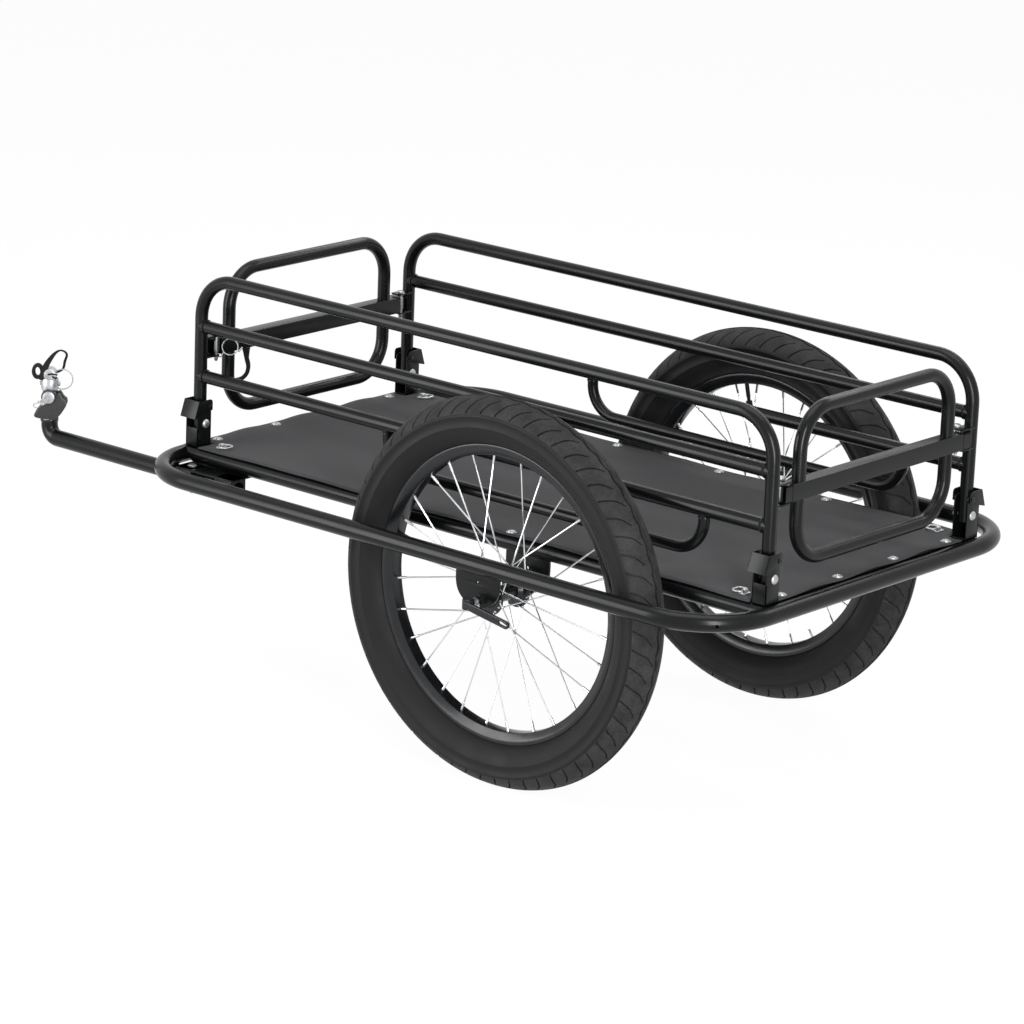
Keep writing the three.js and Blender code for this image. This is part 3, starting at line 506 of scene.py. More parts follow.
def mirror(profile):
    """The profile's points in reverse order on the other side of along = 0."""
    return [(radius, -along) for radius, along in reversed(profile)]


def bolt_head(bm, seat, axis, radius, height, segments=24):
    """A low domed head on its seat, with a socket in its top."""
    socket = radius * 0.42
    turn(bm, [
        (0, 0), (radius, 0), (radius, height * 0.45), (radius * 0.92, height * 0.8),
        (radius * 0.7, height), (socket, height), (socket * 0.9, height * 0.5),
        (0, height * 0.45),
    ], seat, axis, segments)


def hex_nut(bm, seat, axis, radius, height):
    turn(bm, [(0, 0), (radius * 0.94, 0), (radius, height * 0.12), (radius, height * 0.88),
              (radius * 0.94, height), (0, height)], seat, axis, 6)


def torus(bm, centre, axis, radius, wire):
    turn(bm, [(radius + a, b) for a, b in circle(wire, 12)], centre, axis, 40)


def weld(bm, centre, axis, radius, size=2.0):
    """A small bead where a tube meets another."""
    turn(bm, [(radius - 1, -size), (radius + size * 0.75, -size * 0.6),
              (radius + size * 0.55, size * 0.3), (radius - 1, size)], centre, axis, 32)


def add_plate(bm, outline, thickness, centre, across, up, bevel=0.4, holes=()):
    """Adds a plate with rounded edges; its outline's X runs along across, its Y along up."""
    curve = bpy.data.curves.new("outline", "CURVE")
    curve.dimensions = "2D"
    curve.fill_mode = "BOTH"
    curve.extrude = thickness / 2 - bevel
    curve.bevel_depth = bevel
    curve.bevel_resolution = 2
    curve.offset = -bevel
    for points in [outline, *holes]:
        spline = curve.splines.new("POLY")
        spline.points.add(len(points) - 1)
        for target, (x, y) in zip(spline.points, points):
            target.co = (x, y, 0, 1)
        spline.use_cyclic_u = True
    shape = bpy.data.objects.new("outline", curve)
    bpy.context.collection.objects.link(shape)
    mesh = final_mesh(shape)
    bpy.data.objects.remove(shape)
    bpy.data.curves.remove(curve)
    matrix = Matrix((across, up, across.cross(up))).transposed().to_4x4()
    matrix.translation = centre
    mesh.transform(matrix)
    bm.from_mesh(mesh)
    bpy.data.meshes.remove(mesh)


def final_mesh(made):
    """An object's mesh with its modifiers, or its curve's bevel, applied."""
    depsgraph = bpy.context.evaluated_depsgraph_get()
    return bpy.data.meshes.new_from_object(made.evaluated_get(depsgraph))


def piece(name, bm, finish, body, replaces=(), smooth_below=SMOOTH_BELOW):
    """A finished object from a bmesh in millimetres, which rides on a body."""
    bmesh.ops.remove_doubles(bm, verts=bm.verts, dist=0.001)
    bmesh.ops.recalc_face_normals(bm, faces=bm.faces)
    bmesh.ops.scale(bm, vec=(MM, MM, MM), verts=bm.verts)
    mesh = bpy.data.meshes.new(name)
    bm.to_mesh(mesh)
    bm.free()
    mesh.shade_smooth()
    mesh.set_sharp_from_angle(angle=math.radians(smooth_below))
    made = bpy.data.objects.new(name, mesh)
    bpy.context.collection.objects.link(made)
    made.data.materials.append(finish_named(finish))
    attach(made, body)
    if replaces:
        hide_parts(*replaces)
    return made


def sizes():
    return bpy.context.scene.trailer_sizes


# Stage

CAMERA_SPOT = Vector((-4067.3, 4793.1, 2088.6))
CAMERA_LOOK = Vector((0.61913, -0.73494, -0.27665))
CAMERA_ROLL = 2.269
CAMERA_LENS = 158.9
FLOOR_HALF = 30000
FLOOR_GLOW = 0.9
FLOOR_STRENGTH = 1.06
WORLD_FILL = 0.22
WHITE = (1, 1, 1, 1)
LAMP_TARGET = Vector((-100, 0, 300))
# Each lamp's place, its width and height, and its power
LAMPS = {
    "top_softbox": ((-300, 300, 3200), (2600, 2200), 40),
    "side_softbox": ((1350, 2250, 950), (1200, 1900), 43),
    "near_softbox": ((-2300, 1500, 900), (450, 1700), 48),
    "back_strip": ((-200, -2400, 2600), (4200, 300), 24),
}


class TRAILER_OT_stage(bpy.types.Operator):
    """Sets the camera, the lamps and the pale floor"""
    bl_idname = "trailer.stage"
    bl_label = "Stage"

    def execute(self, context):
        scene = context.scene
        self.add_camera(scene)
        for name, (spot, size, power) in LAMPS.items():
            lamp = bpy.data.lights.new(name, "AREA")
            lamp.shape = "RECTANGLE"
            lamp.size, lamp.size_y = size[0] * MM, size[1] * MM
            lamp.energy = power
            holder = bpy.data.objects.new(name, lamp)
            holder.location = Vector(spot) * MM
            aim = LAMP_TARGET * MM - holder.location
            holder.rotation_euler = aim.to_track_quat("-Z", "Y").to_euler()
            holder.visible_camera = False
            scene.collection.objects.link(holder)
        self.add_floor(scene)
        self.light_world(scene)
        scene.view_settings.view_transform = "Standard"
        return {"FINISHED"}

    def add_camera(self, scene):
        camera = bpy.data.objects.new("camera", bpy.data.cameras.new("camera"))
        scene.collection.objects.link(camera)
        camera.data.lens = CAMERA_LENS
        camera.data.clip_end = 100
        camera.location = CAMERA_SPOT * MM
        camera.rotation_mode = "QUATERNION"
        look = CAMERA_LOOK.to_track_quat("-Z", "Y")
        camera.rotation_quaternion = look @ Quaternion(Z, math.radians(CAMERA_ROLL))
        scene.camera = camera

    def seen_background(self, tree):
        """1 where the eye, a mirror or glass sees the background, 0 where it only lights."""
        ray = add_node(tree, "ShaderNodeLightPath")
        seen = ray.outputs["Is Camera Ray"]
        for kind in ("Is Glossy Ray", "Is Transmission Ray"):
            seen = add_node(tree, "ShaderNodeMath", {"operation": "MAXIMUM"}, {
                0: seen, 1: ray.outputs[kind]})
        return seen

    def add_floor(self, scene):
        bm = bmesh.new()
        half = FLOOR_HALF * MM
        bm.faces.new([bm.verts.new((x * half, y * half, 0))
                      for x, y in ((-1, -1), (1, -1), (1, 1), (-1, 1))])
        mesh = bpy.data.meshes.new("pale_floor")
        bm.to_mesh(mesh)
        bm.free()
        floor = bpy.data.objects.new("pale_floor", mesh)
        scene.collection.objects.link(floor)
        material = bpy.data.materials.new("pale_floor")
        tree = empty_tree(material)
        paper = add_node(tree, "ShaderNodeBsdfDiffuse", inputs={"Color": linear("#f2f2f2")})
        glow = add_node(tree, "ShaderNodeEmission", inputs={
            "Color": WHITE, "Strength": FLOOR_STRENGTH})
        seen = add_node(tree, "ShaderNodeMath", {"operation": "MULTIPLY"}, {
            0: self.seen_background(tree), 1: FLOOR_GLOW})
        mix = add_node(tree, "ShaderNodeMixShader", inputs={"Fac": seen, 1: paper, 2: glow})
        add_node(tree, "ShaderNodeOutputMaterial", inputs={"Surface": mix})
        mesh.materials.append(material)

    def light_world(self, scene):
        scene.world = bpy.data.worlds.new("studio")
        tree = empty_tree(scene.world)
        strength = add_node(tree, "ShaderNodeMapRange", inputs={
            "Value": self.seen_background(tree), "To Min": WORLD_FILL, "To Max": 1.0})
        sky = add_node(tree, "ShaderNodeBackground", inputs={"Color": WHITE, "Strength": strength})
        add_node(tree, "ShaderNodeOutputWorld", inputs={"Surface": sky})


# Frame

# The drain hole, in radians round the loop's rear left bend from its side, and under its top
DRAIN_TURN = 0.83
DRAIN_DROP = 1
DRAIN_RADIUS = 2.6
DRAIN_REACH = 5
RAIL_REACH = 6
CROSS_TUBE = 20
CROSS_CORNER = 2.5
CROSS_TUBES = ("front_cross_tube", "middle_cross_tube", "axle_cross_tube", "rear_cross_tube")


class TRAILER_OT_frame(bpy.types.Operator):
    """Bends the main loop and sets the deck rails and cross tubes in it"""
    bl_idname = "trailer.frame"
    bl_label = "Frame"

    def execute(self, context):
        low = LOOP_LOW + Vector((1, 1, 1)) * LOOP_RADIUS
        high = LOOP_HIGH - Vector((1, 1, 1)) * LOOP_RADIUS
        bend = sizes().loop_bend / MM
        bm = bmesh.new()
        ring = [(x, y, high.z) for x, y in (
            (high.x, high.y), (low.x, high.y), (low.x, low.y), (high.x, low.y))]
        tube(bm, ring, bend, LOOP_RADIUS, Z, closed=True, steps=18)
        loop = piece("loop_tube", bm, "black_steel", "frame", ["main_loop"])
        outward = Vector((-math.sin(DRAIN_TURN), math.cos(DRAIN_TURN), 0))
        spot = Vector((low.x + bend, high.y - bend, high.z - DRAIN_DROP)) + outward * bend
        self.drill(loop, spot, spot + outward * (LOOP_RADIUS + DRAIN_REACH), DRAIN_RADIUS)
        for side in SIDES:
            node = f"{side}_deck_rail"
            at = middle(node)
            rear, front = (place.x for place in span(node))
            ends = [(x, at.y, at.z) for x in (rear - RAIL_REACH, front + RAIL_REACH)]
            bm = bmesh.new()
            straight(bm, *ends, LOOP_HIGH.z - at.z, sizes().tube_sides)
            piece(f"{side}_rail_tube", bm, "black_steel", "frame", [node])
        half = middle("left_deck_rail").y
        for node in CROSS_TUBES:
            bm = bmesh.new()
            bar(bm, middle(node), -half, half, round_box(CROSS_TUBE, CROSS_TUBE, CROSS_CORNER))
            piece(f"{node}_bar", bm, "black_steel", "frame", [node])
        return {"FINISHED"}

    def drill(self, made, start, end, radius):
        """Cuts a round hole into a piece, from one point to another."""
        bm = bmesh.new()
        straight(bm, start * MM, end * MM, radius * MM)
        bmesh.ops.recalc_face_normals(bm, faces=bm.faces)
        mesh = bpy.data.meshes.new("drill")
        bm.to_mesh(mesh)
        bm.free()
        tool = bpy.data.objects.new("drill", mesh)
        bpy.context.collection.objects.link(tool)
        cut = made.modifiers.new("drill", "BOOLEAN")
        cut.operation = "DIFFERENCE"
        cut.object = tool
        drilled = final_mesh(made)
        made.modifiers.clear()
        made.data = drilled
        drilled.set_sharp_from_angle(angle=math.radians(SMOOTH_BELOW))
        bpy.data.objects.remove(tool)


# Deck

CORNER_CUT = (23.8, 34)
CLOTH = 1.4
CLOTH_STEP = 9
# The wrinkles' height, and how slow they are: large ones forward and sideways, then small ones
RIPPLE = 0.45
WRINKLES = (46, 38, 21, 29)
SMALL_WRINKLES = 0.6
# The cloth stands up this far between its end screws, less so at its sides, and flat inwards
EDGE_LIFT = 3.0
SIDE_LIFT = 0.6
EDGE_REACH = 45
SCREW_RADIUS = 6.0
SCREW_HEIGHT = 2.4
SCREW_WASHER = [(0, -0.4), (7.4, -0.4), (7.4, 0.5), (0, 0.5)]
SCREW_FRONT_INSET = 10
SCREW_REAR_INSET = 12
SCREW_ROWS = (187, 63, -63, -187)
SCREW_SIDE_INSET = 12
# Screws along each side, measured from the axle's cross tube
SCREW_SIDE_PLACES = (230, 39, -155)


def between(places, place):
    """A hump of height 1 between neighbouring places, and 0 at them and outside them."""
    for low, high in zip(places, places[1:]):
        if low <= place <= high:
            return math.sin(math.pi * (place - low) / (high - low)) ** 2
    return 0


class TRAILER_OT_deck(bpy.types.Operator):
    """Lays the deck cloth and drives its screws"""
    bl_idname = "trailer.deck"
    bl_label = "Deck"

    def ripple(self, x, y):
        """The cloth's lift between its screws, in millimetres."""
        end = min(x - DECK_LOW.x, DECK_HIGH.x - x)
        side = min(y - DECK_LOW.y, DECK_HIGH.y - y)
        across = between(SCREW_ROWS[::-1], y) * math.exp(-(end / EDGE_REACH) ** 2)
        places = [AXLE_TUBE + place for place in reversed(SCREW_SIDE_PLACES)]
        places = [DECK_LOW.x, *places, DECK_HIGH.x]
        down = between(places, x) * math.exp(-(side / EDGE_REACH) ** 2)
        long, wide, short, narrow = WRINKLES
        large = math.sin(x / long + 1) * math.sin(y / wide)
        waves = large + SMALL_WRINKLES * math.sin(x / short + y / narrow)
        return EDGE_LIFT * (across + SIDE_LIFT * down) + RIPPLE * waves

    def grid_lines(self, axis):
        """Even lines from edge to edge, with one where the corner cut ends."""
        low, high, cut = DECK_LOW[axis], DECK_HIGH[axis], CORNER_CUT[axis]
        steps = round((high - low - 2 * cut) / CLOTH_STEP)
        edge = [cut * i / 3 for i in range(3)]
        inner = [low + cut + (high - low - 2 * cut) * i / steps for i in range(steps + 1)]
        return [low + e for e in edge] + inner + [high - e for e in reversed(edge)]

    def is_cut(self, x, y):
        """Whether a point lies in one of the cloth's corner cuts."""
        return all(min(place - DECK_LOW[axis], DECK_HIGH[axis] - place) < CORNER_CUT[axis] - 1
                   for axis, place in enumerate((x, y)))

    def execute(self, context):
        base = DECK_LOW.z + (DECK_HIGH.z - DECK_LOW.z) / 2
        bm = bmesh.new()
        grid = {}
        for i, x in enumerate(self.grid_lines(0)):
            for j, y in enumerate(self.grid_lines(1)):
                if not self.is_cut(x, y):
                    grid[i, j] = bm.verts.new((x, y, base + self.ripple(x, y)))
        for i, j in grid:
            ring = [(i, j), (i + 1, j), (i + 1, j + 1), (i, j + 1)]
            if all(key in grid for key in ring):
                bm.faces.new([grid[key] for key in ring])
        cloth = piece("deck_cloth", bm, "deck_cloth", "frame", ["deck_sheet"])
        thick = cloth.modifiers.new("cloth", "SOLIDIFY")
        thick.thickness = CLOTH * MM
        thick.offset = 0
        places = [(x, y) for y in SCREW_ROWS
                  for x in (DECK_HIGH.x - SCREW_FRONT_INSET, DECK_LOW.x + SCREW_REAR_INSET)]
        places += [(AXLE_TUBE + x, y) for x in SCREW_SIDE_PLACES
                   for y in (DECK_HIGH.y - SCREW_SIDE_INSET, DECK_LOW.y + SCREW_SIDE_INSET)]
        bm = bmesh.new()
        for x, y in places:
            seat = Vector((x, y, base + CLOTH / 2 + self.ripple(x, y)))
            turn(bm, SCREW_WASHER, seat, Z, 24)
            bolt_head(bm, seat, Z, SCREW_RADIUS, SCREW_HEIGHT, 20)
        piece("deck_screws", bm, "zinc_steel", "frame")
        return {"FINISHED"}


# Axle plates, axles and levers

PLATE_TIP = 11
PLATE_SHOULDER = 18
# The hole's height over the axle, and its radius
PLATE_HOLE = (26, 2.5)
# Its cheek bends in down to this share of its tip, and its foot has a cut corner
PLATE_CHEEK_SHARE = 0.7
PLATE_FOOT = 2.5
PLATE_BEVEL = 0.6
# A plate's top runs this far up into its cross tube
PLATE_ROOT = 4
AXLE_RADIUS = 4.8
AXLE_PLAY = 0.4
AXLE_INSET = 0.2
# The nut's radius and length, between the axle's inner end and its washer
AXLE_NUT = (8.6, 8)
AXLE_WASHER = [(0, 0), (11, 0), (11, 1.4), (0, 1.4)]
AXLE_END = [(0, 0), (6.2, 0), (6.2, 1.5), (5.6, 2.5), (5.6, 8), (0, 8)]
LEVER_LENGTH = 80
LEVER_WIDTH = 11
LEVER_DROOP = 0.16
LEVER_THICKNESS = 4.5
LEVER_SLOT = (15, 4.8)
LEVER_ROOT = 1
LEVER_ROOT_SHARE = 0.9
LEVER_NECK = -20
LEVER_BEVEL = 0.8
BARREL_HALF = 7.5


class TRAILER_OT_axles(bpy.types.Operator):
    """Hangs the axle plates, and sets the axles and their release levers"""
    bl_idname = "trailer.axles"
    bl_label = "Axles"

    def execute(self, context):
        for side, sign in SIDES.items():
            for where in ("outer", "inner"):
                self.add_hanger(f"{side}_{where}_axle_plate")
            self.add_axle(side, sign)
            self.add_lever(side, sign)
        return {"FINISHED"}

    def add_hanger(self, node):
        """A plate with an open slot for the axle and a round hole above it."""
        low, high = span(node)
        half = (high.x - low.x) / 2
        top = high.z + PLATE_ROOT - WHEEL.z
        shoulder = (-half, top - PLATE_SHOULDER)
        slot = AXLE_RADIUS + AXLE_PLAY
        cheek = curve_between(shoulder, (-half, 0), (-PLATE_TIP, -PLATE_TIP * PLATE_CHEEK_SHARE))
        left = [(-half, top), *cheek, (-PLATE_TIP + PLATE_FOOT, -PLATE_TIP), (-slot, -PLATE_TIP),
                (-slot, 0)]
        outline = left + arc(0, 0, slot, 2, 0, 10)[1:-1] + [(-x, y) for x, y in reversed(left)]
        bm = bmesh.new()
        spot = Vector((middle(node).x, middle(node).y, WHEEL.z))
        add_plate(bm, outline, high.y - low.y, spot, X, Z, PLATE_BEVEL,
                  [hole(0, *PLATE_HOLE, 14)])
        piece(f"{node}_sheet", bm, "black_steel", "frame", [node])

    def add_axle(self, side, sign):
        inner = inside_out(f"{side}_axle", sign)[0]
        # The axle ends just inside the lever's barrel, so that the lever can swing
        outer = inside_out(f"{side}_release_lever", sign)[0] + sign * AXLE_INSET
        out = Y * sign
        start, end = (Vector((WHEEL.x, y, WHEEL.z)) for y in (inner, outer))
        bm = bmesh.new()
        straight(bm, start, end, AXLE_RADIUS, 24)
        hex_nut(bm, start + out, out, *AXLE_NUT)
        turn(bm, AXLE_WASHER, start + out * (AXLE_NUT[1] + 1), out, 32)
        turn(bm, AXLE_END, end - out * AXLE_END[-1][1], out, 32)
        piece(f"{side}_axle_rod", bm, "zinc_steel", "frame", [f"{side}_axle"])

    def add_lever(self, side, sign):
        node = f"{side}_release_lever"
        low, high = span(node)
        centre = Vector((WHEEL.x, (low.y + high.y) / 2, WHEEL.z))
        half = (high.y - low.y) / 2
        bm = bmesh.new()
        turn(bm, [(0, -BARREL_HALF), (half - 1, -BARREL_HALF), (half, 1 - BARREL_HALF),
                  (half, BARREL_HALF - 1), (half - 1, BARREL_HALF), (0, BARREL_HALF)],
             centre, Z, 32)
        wide = LEVER_WIDTH / 2
        long, tall = LEVER_SLOT
        tip = wide - LEVER_LENGTH
        root = wide * LEVER_ROOT_SHARE
        outline = [(LEVER_ROOT, root), (LEVER_NECK, wide), *arc(tip, 0, wide, 1, 3, 14),
                   (LEVER_NECK, -wide), (LEVER_ROOT, -root)]
        slot = arc(tip, 0, tall / 2, 1, 3, 8) + arc(tip + long - tall, 0, tall / 2, -1, 1, 8)
        face = centre + Y * sign * (half - LEVER_THICKNESS / 2)
        across = Vector((math.cos(LEVER_DROOP), 0, math.sin(LEVER_DROOP)))
        add_plate(bm, outline, LEVER_THICKNESS, face, across, across.cross(Y), LEVER_BEVEL,
                  [slot])
        piece(f"{side}_cam_lever", bm, "black_alloy", f"{side}_lever", [node])


# Wheels

# The tyre's half outline from bead to tread edge, and the tread's from there to the crown
SIDEWALL = [
    (204, 12.0), (208, 13.0), (210, 13.8), (211.5, 16.6), (216, 21.6), (222, 26.4),
    (228, 29.8), (233.5, 31.8), (235.5, 32.9), (237.5, 32.4), (241, 31.6), (245.5, 32.0),
    (248.5, 33.2), (250.3, 34.0), (252.2, 33.6), (253.0, 32.3),
]
TREAD_EDGE = [
    (253.6, 32.2), (257, 30.9), (261, 27.9), (264.5, 24.0), (267.5, 20.0), (270, 16.0),
    (272, 12.0), (273.8, 8.0), (275.2, 4.0), (276, 0),
]
TYRE_INSIDE = [
    (268.5, 0), (266, 12), (260, 22), (252, 28), (240, 29), (226, 26), (214, 18), (206, 9),
]
# Rows across the tread, measured from its edge, and the cuts between them
TREAD_ROWS = [0.5, 1.1, 1.6, 3.5, 6, 9, 12, 15, 18, 21, 24, 27, 29.5, 32, 34.5, 36.6, 37.2,
              39.0, 39.6]
TREAD_HALF = 40
GROOVE_START = 1.3
LONG_GROOVE_END = 33
SHORT_GROOVE_END = 28
RIB_CUT = (36.9, 39.3)
RIB_ZIGZAG = 2.2
# How far round the wheel a groove has run, at distances from the tread's edge
LONG_PATH = [(0, 0), (3, 1), (9, 4), (18, 8.5), (24, 12.5), (28, 17), (33, 24), (45, 28)]
SHORT_PATH = [(0, 0), (3, 1), (9, 4), (15, 7.5), (20, 11.5), (24, 17), (28, 22), (45, 28)]
# Columns in one tread pitch, measured from its groove
GROOVE_HALF = 1.6
GROOVE_COLUMNS = [-GROOVE_HALF, -1.1, 1.1, GROOVE_HALF]
BLOCK_EDGE = 4.5
RIM_DEPTH = 16
RIM_HALF = 15
# Spoke spaces from the top of the wheel to its valve
VALVE_STEPS = {"left": 6, "right": 1}
# The valve's stem and cap, measured from the rim's bed
VALVE_STEM = [(0, 6), (3.1, 6), (3.1, -20), (2.6, -21), (2.6, -27), (0, -27)]
VALVE_CAP = [(0, -26), (4.6, -26), (5.0, -37), (3.6, -38), (0, -38)]
SPOKE_RADIUS = 1.1
SPOKE_HEAD = [(0, 0), (1.9, 0), (1.5, 1.0), (0, 1.4)]
NIPPLE = [(0, 0), (1.4, 0), (1.9, 1), (1.9, 12), (2.3, 13), (2.3, 15), (0, 15)]
HUB_BARREL = 13
HUB_FLANGE = 25
HUB_FLANGE_HALF = 1.6
HUB_SPACING = 56
# The shell stops this far inside the hub's ends, where the locknuts take over
HUB_END = 11
HUB_NUT = [(5.1, 0), (9.2, 0), (9.2, 3.4), (8.6, 4), (8.6, 7), (9.2, 7.4), (9.2, 10.8),
           (5.1, 10.8)]
CROSSINGS = 2


def wheel_arm(angle):
    """The direction outwards from a wheel's centre, at an angle from its top."""
    return Vector((math.sin(angle), 0, math.cos(angle)))


def along_table(table, place):
    """The value at a place in a table of (place, value)."""
    for (p0, v0), (p1, v1) in zip(table, table[1:]):
        if place <= p1:
            return v0 + (v1 - v0) * max(0, place - p0) / (p1 - p0)
    return table[-1][1]


def at_distance(line, distance):
    """The point and the outward normal at a distance along a (radius, along) line."""
    for (r0, a0), (r1, a1) in zip(line, line[1:]):
        run = math.hypot(r1 - r0, a1 - a0)
        if distance <= run or (r1, a1) == line[-1]:
            share = distance / run
            return ((r0 + (r1 - r0) * share, a0 + (a1 - a0) * share),
                    ((a0 - a1) / run, (r1 - r0) / run))
        distance -= run


class TRAILER_OT_wheels(bpy.types.Operator):
    """Builds the tyres with their tread, the rims, the hubs and the laced spokes"""
    bl_idname = "trailer.wheels"
    bl_label = "Wheels"

    def execute(self, context):
        for side, sign in SIDES.items():
            centre = Vector((WHEEL.x, sign * WHEEL.y, WHEEL.z))
            self.add_tyre(side, centre)
            self.add_rim(side, centre)
            self.add_hub(side, centre)
            self.add_spokes(side, centre)
        return {"FINISHED"}

    def add_tyre(self, side, centre):
        blocks = 2 * round(FULL_TURN * TYRE_RADIUS / (sizes().tread_pitch / MM) / 2)
        pitch = FULL_TURN * TYRE_RADIUS / blocks
        plain = [BLOCK_EDGE + (pitch - 2 * BLOCK_EDGE) * i / 4 for i in range(5)]
        bm = bmesh.new()
        rings = []
        for block in range(blocks):
            for offset in GROOVE_COLUMNS + plain:
                rings.append([])
                for radius, along, run in self.tyre_ring(block, offset, pitch):
                    arm = wheel_arm((block * pitch + offset - run) / TYRE_RADIUS)
                    rings[-1].append(bm.verts.new(centre + arm * radius + Y * along))
        # The tread faces take the lighter tread material: partly painted light on the upward face,
        # partly dust
        tread = range(len(SIDEWALL), len(SIDEWALL) + 2 * len(TREAD_ROWS))
        for i, face in enumerate(skin(bm, rings, closed=True)):
            face.material_index = i % len(rings[0]) in tread
        tyre = piece(f"{side}_tyre_casing", bm, "tyre", f"{side}_wheel", [f"{side}_tyre"], 32)
        tyre.data.materials.append(finish_named("tread"))

    def tyre_ring(self, block, offset, pitch):
        """Radius, side and run of each point round the tyre's section, tread and inside."""
        rows = [self.tread_row(block, offset, pitch, row) for row in TREAD_ROWS]
        ring = [(radius, along, 0) for radius, along in SIDEWALL] + rows
        ring.append((TYRE_RADIUS, 0, along_table(LONG_PATH, TREAD_HALF)))
        # The far half's grooves lie half a pitch on, and slide over to that near the crown
        for (radius, along, run), row in reversed(list(zip(rows, TREAD_ROWS))):
            ring.append((radius, -along, run + pitch / 2 * min(1, (TREAD_HALF - row) / 8)))
        ring += [(radius, along, pitch / 2) for radius, along in mirror(SIDEWALL)]
        return ring + [(radius, along, pitch / 4 * (1 - along / 29))
                       for radius, along in mirror(TYRE_INSIDE) + TYRE_INSIDE[1:]]

    def tread_row(self, block, offset, pitch, row):
        """Radius, side and run of a tread point, with its grooves cut."""
        paths = [LONG_PATH, SHORT_PATH] if block % 2 == 0 else [SHORT_PATH, LONG_PATH]
        share = max(0, offset - GROOVE_HALF) / (pitch - 2 * GROOVE_HALF)
        run = along_table(paths[0], row) * (1 - share) + along_table(paths[1], row) * share
        end = LONG_GROOVE_END if block % 2 == 0 else SHORT_GROOVE_END
        cut = abs(offset) < GROOVE_HALF and GROOVE_START < row < end
        place = row
        if row > RIB_CUT[0] - 1:
            place += RIB_ZIGZAG * (abs(2 * (offset / pitch % 1) - 1) - 0.5)
            cut = cut or RIB_CUT[0] < row < RIB_CUT[1]
        (radius, along), (out, aside) = at_distance(TREAD_EDGE, place)
        sink = sizes().tread_depth / MM if cut else 0
        return radius - sink * out, along - sink * aside, run

    def add_rim(self, side, centre):
        edge = RIM_RADIUS
        bed = edge - RIM_DEPTH
        half = [
            (bed, 0), (bed, 7.5), (bed + 0.5, 9.5), (bed + 4, RIM_HALF - 3.2),
            (bed + 7.5, RIM_HALF - 1.8), (edge - 6, RIM_HALF - 0.6), (edge - 1.2, RIM_HALF),
            (edge, RIM_HALF - 0.3), (edge, RIM_HALF - 1.6), (edge - 7, RIM_HALF - 2.2),
            (edge - 10, 6), (edge - 10, 0),
        ]
        bm = bmesh.new()
        turn(bm, half + mirror(half[1:-1]), centre, Y, 160)
        piece(f"{side}_rim_hoop", bm, "black_alloy", f"{side}_wheel", [f"{side}_rim"], 28)
        arm = wheel_arm(VALVE_STEPS[side] * FULL_TURN / sizes().spokes)
        bm = bmesh.new()
        for profile in (VALVE_STEM, VALVE_CAP):
            turn(bm, profile, centre + arm * bed, arm, 20)
        piece(f"{side}_valve_stem", bm, "tyre", f"{side}_wheel")

    def add_hub(self, side, centre):
        near = HUB_SPACING / 2
        low, high = span(f"{side}_hub_and_spokes")
        end = (high.y - low.y) / 2
        half = [
            (HUB_BARREL - 1.5, 0), (HUB_BARREL - 1.5, near - 8), (HUB_BARREL + 3, near - 3),
            (HUB_FLANGE - 1, near - HUB_FLANGE_HALF), (HUB_FLANGE, near - 0.8),
            (HUB_FLANGE, near + 0.8), (HUB_FLANGE - 1, near + HUB_FLANGE_HALF),
            (HUB_BARREL + 1, near + HUB_FLANGE_HALF), (HUB_BARREL, near + 6),
            (HUB_BARREL - 2, end - HUB_END - 1), (9.5, end - HUB_END), (5.2, end - HUB_END),
        ]
        bm = bmesh.new()
        turn(bm, mirror(half[1:]) + half, centre, Y, 48)
        piece(f"{side}_hub_shell", bm, "black_alloy", f"{side}_wheel", [f"{side}_hub_and_spokes"])
        bm = bmesh.new()
        for way in BOTH_WAYS:
            out = Y * way
            turn(bm, HUB_NUT, centre + out * (end - HUB_END), out, 32)
            face = centre + out * (near + HUB_FLANGE_HALF)
            for i in range(sizes().spokes // 2):
                arm = wheel_arm(FULL_TURN * 2 * (i + 0.5) / sizes().spokes)
                turn(bm, SPOKE_HEAD, face + arm * (HUB_FLANGE - 3), out, 10)
        piece(f"{side}_hub_nuts", bm, "zinc_steel", f"{side}_wheel")

    def add_spokes(self, side, centre):
        count = sizes().spokes
        step = FULL_TURN / count
        bm = bmesh.new()
        for i in range(count):
            way = 1 if i % 2 == 0 else -1
            lead = 1 if (i // 2) % 2 == 0 else -1
            rim_angle = (i + 0.5) * step
            hub_arm = wheel_arm(rim_angle + lead * CROSSINGS * 2 * step)
            flange = way * (HUB_SPACING / 2 + lead * (HUB_FLANGE_HALF + SPOKE_RADIUS * 0.4))
            start = centre + hub_arm * (HUB_FLANGE - 3) + Y * flange
            end = centre + wheel_arm(rim_angle) * (RIM_RADIUS - RIM_DEPTH + 1) + Y * way * 2.0
            straight(bm, start, end, SPOKE_RADIUS, 8)
            along = (end - start).normalized()
            turn(bm, NIPPLE, end - along * NIPPLE[-1][1], along, 10)
        piece(f"{side}_laced_spokes", bm, "spoke_steel", f"{side}_wheel")


# Side panels

GUARD_TUBE = 8
GUARD_FRONT = 277
GUARD_REAR = -289
GUARD_BOTTOM = 385
GUARD_BEND = 45
LUG_WIDTH = 18
LUG_THICKNESS = 2.5
# Play between a gate bar and the lugs under and over it
LUG_PLAY = (0.3, 2.1)


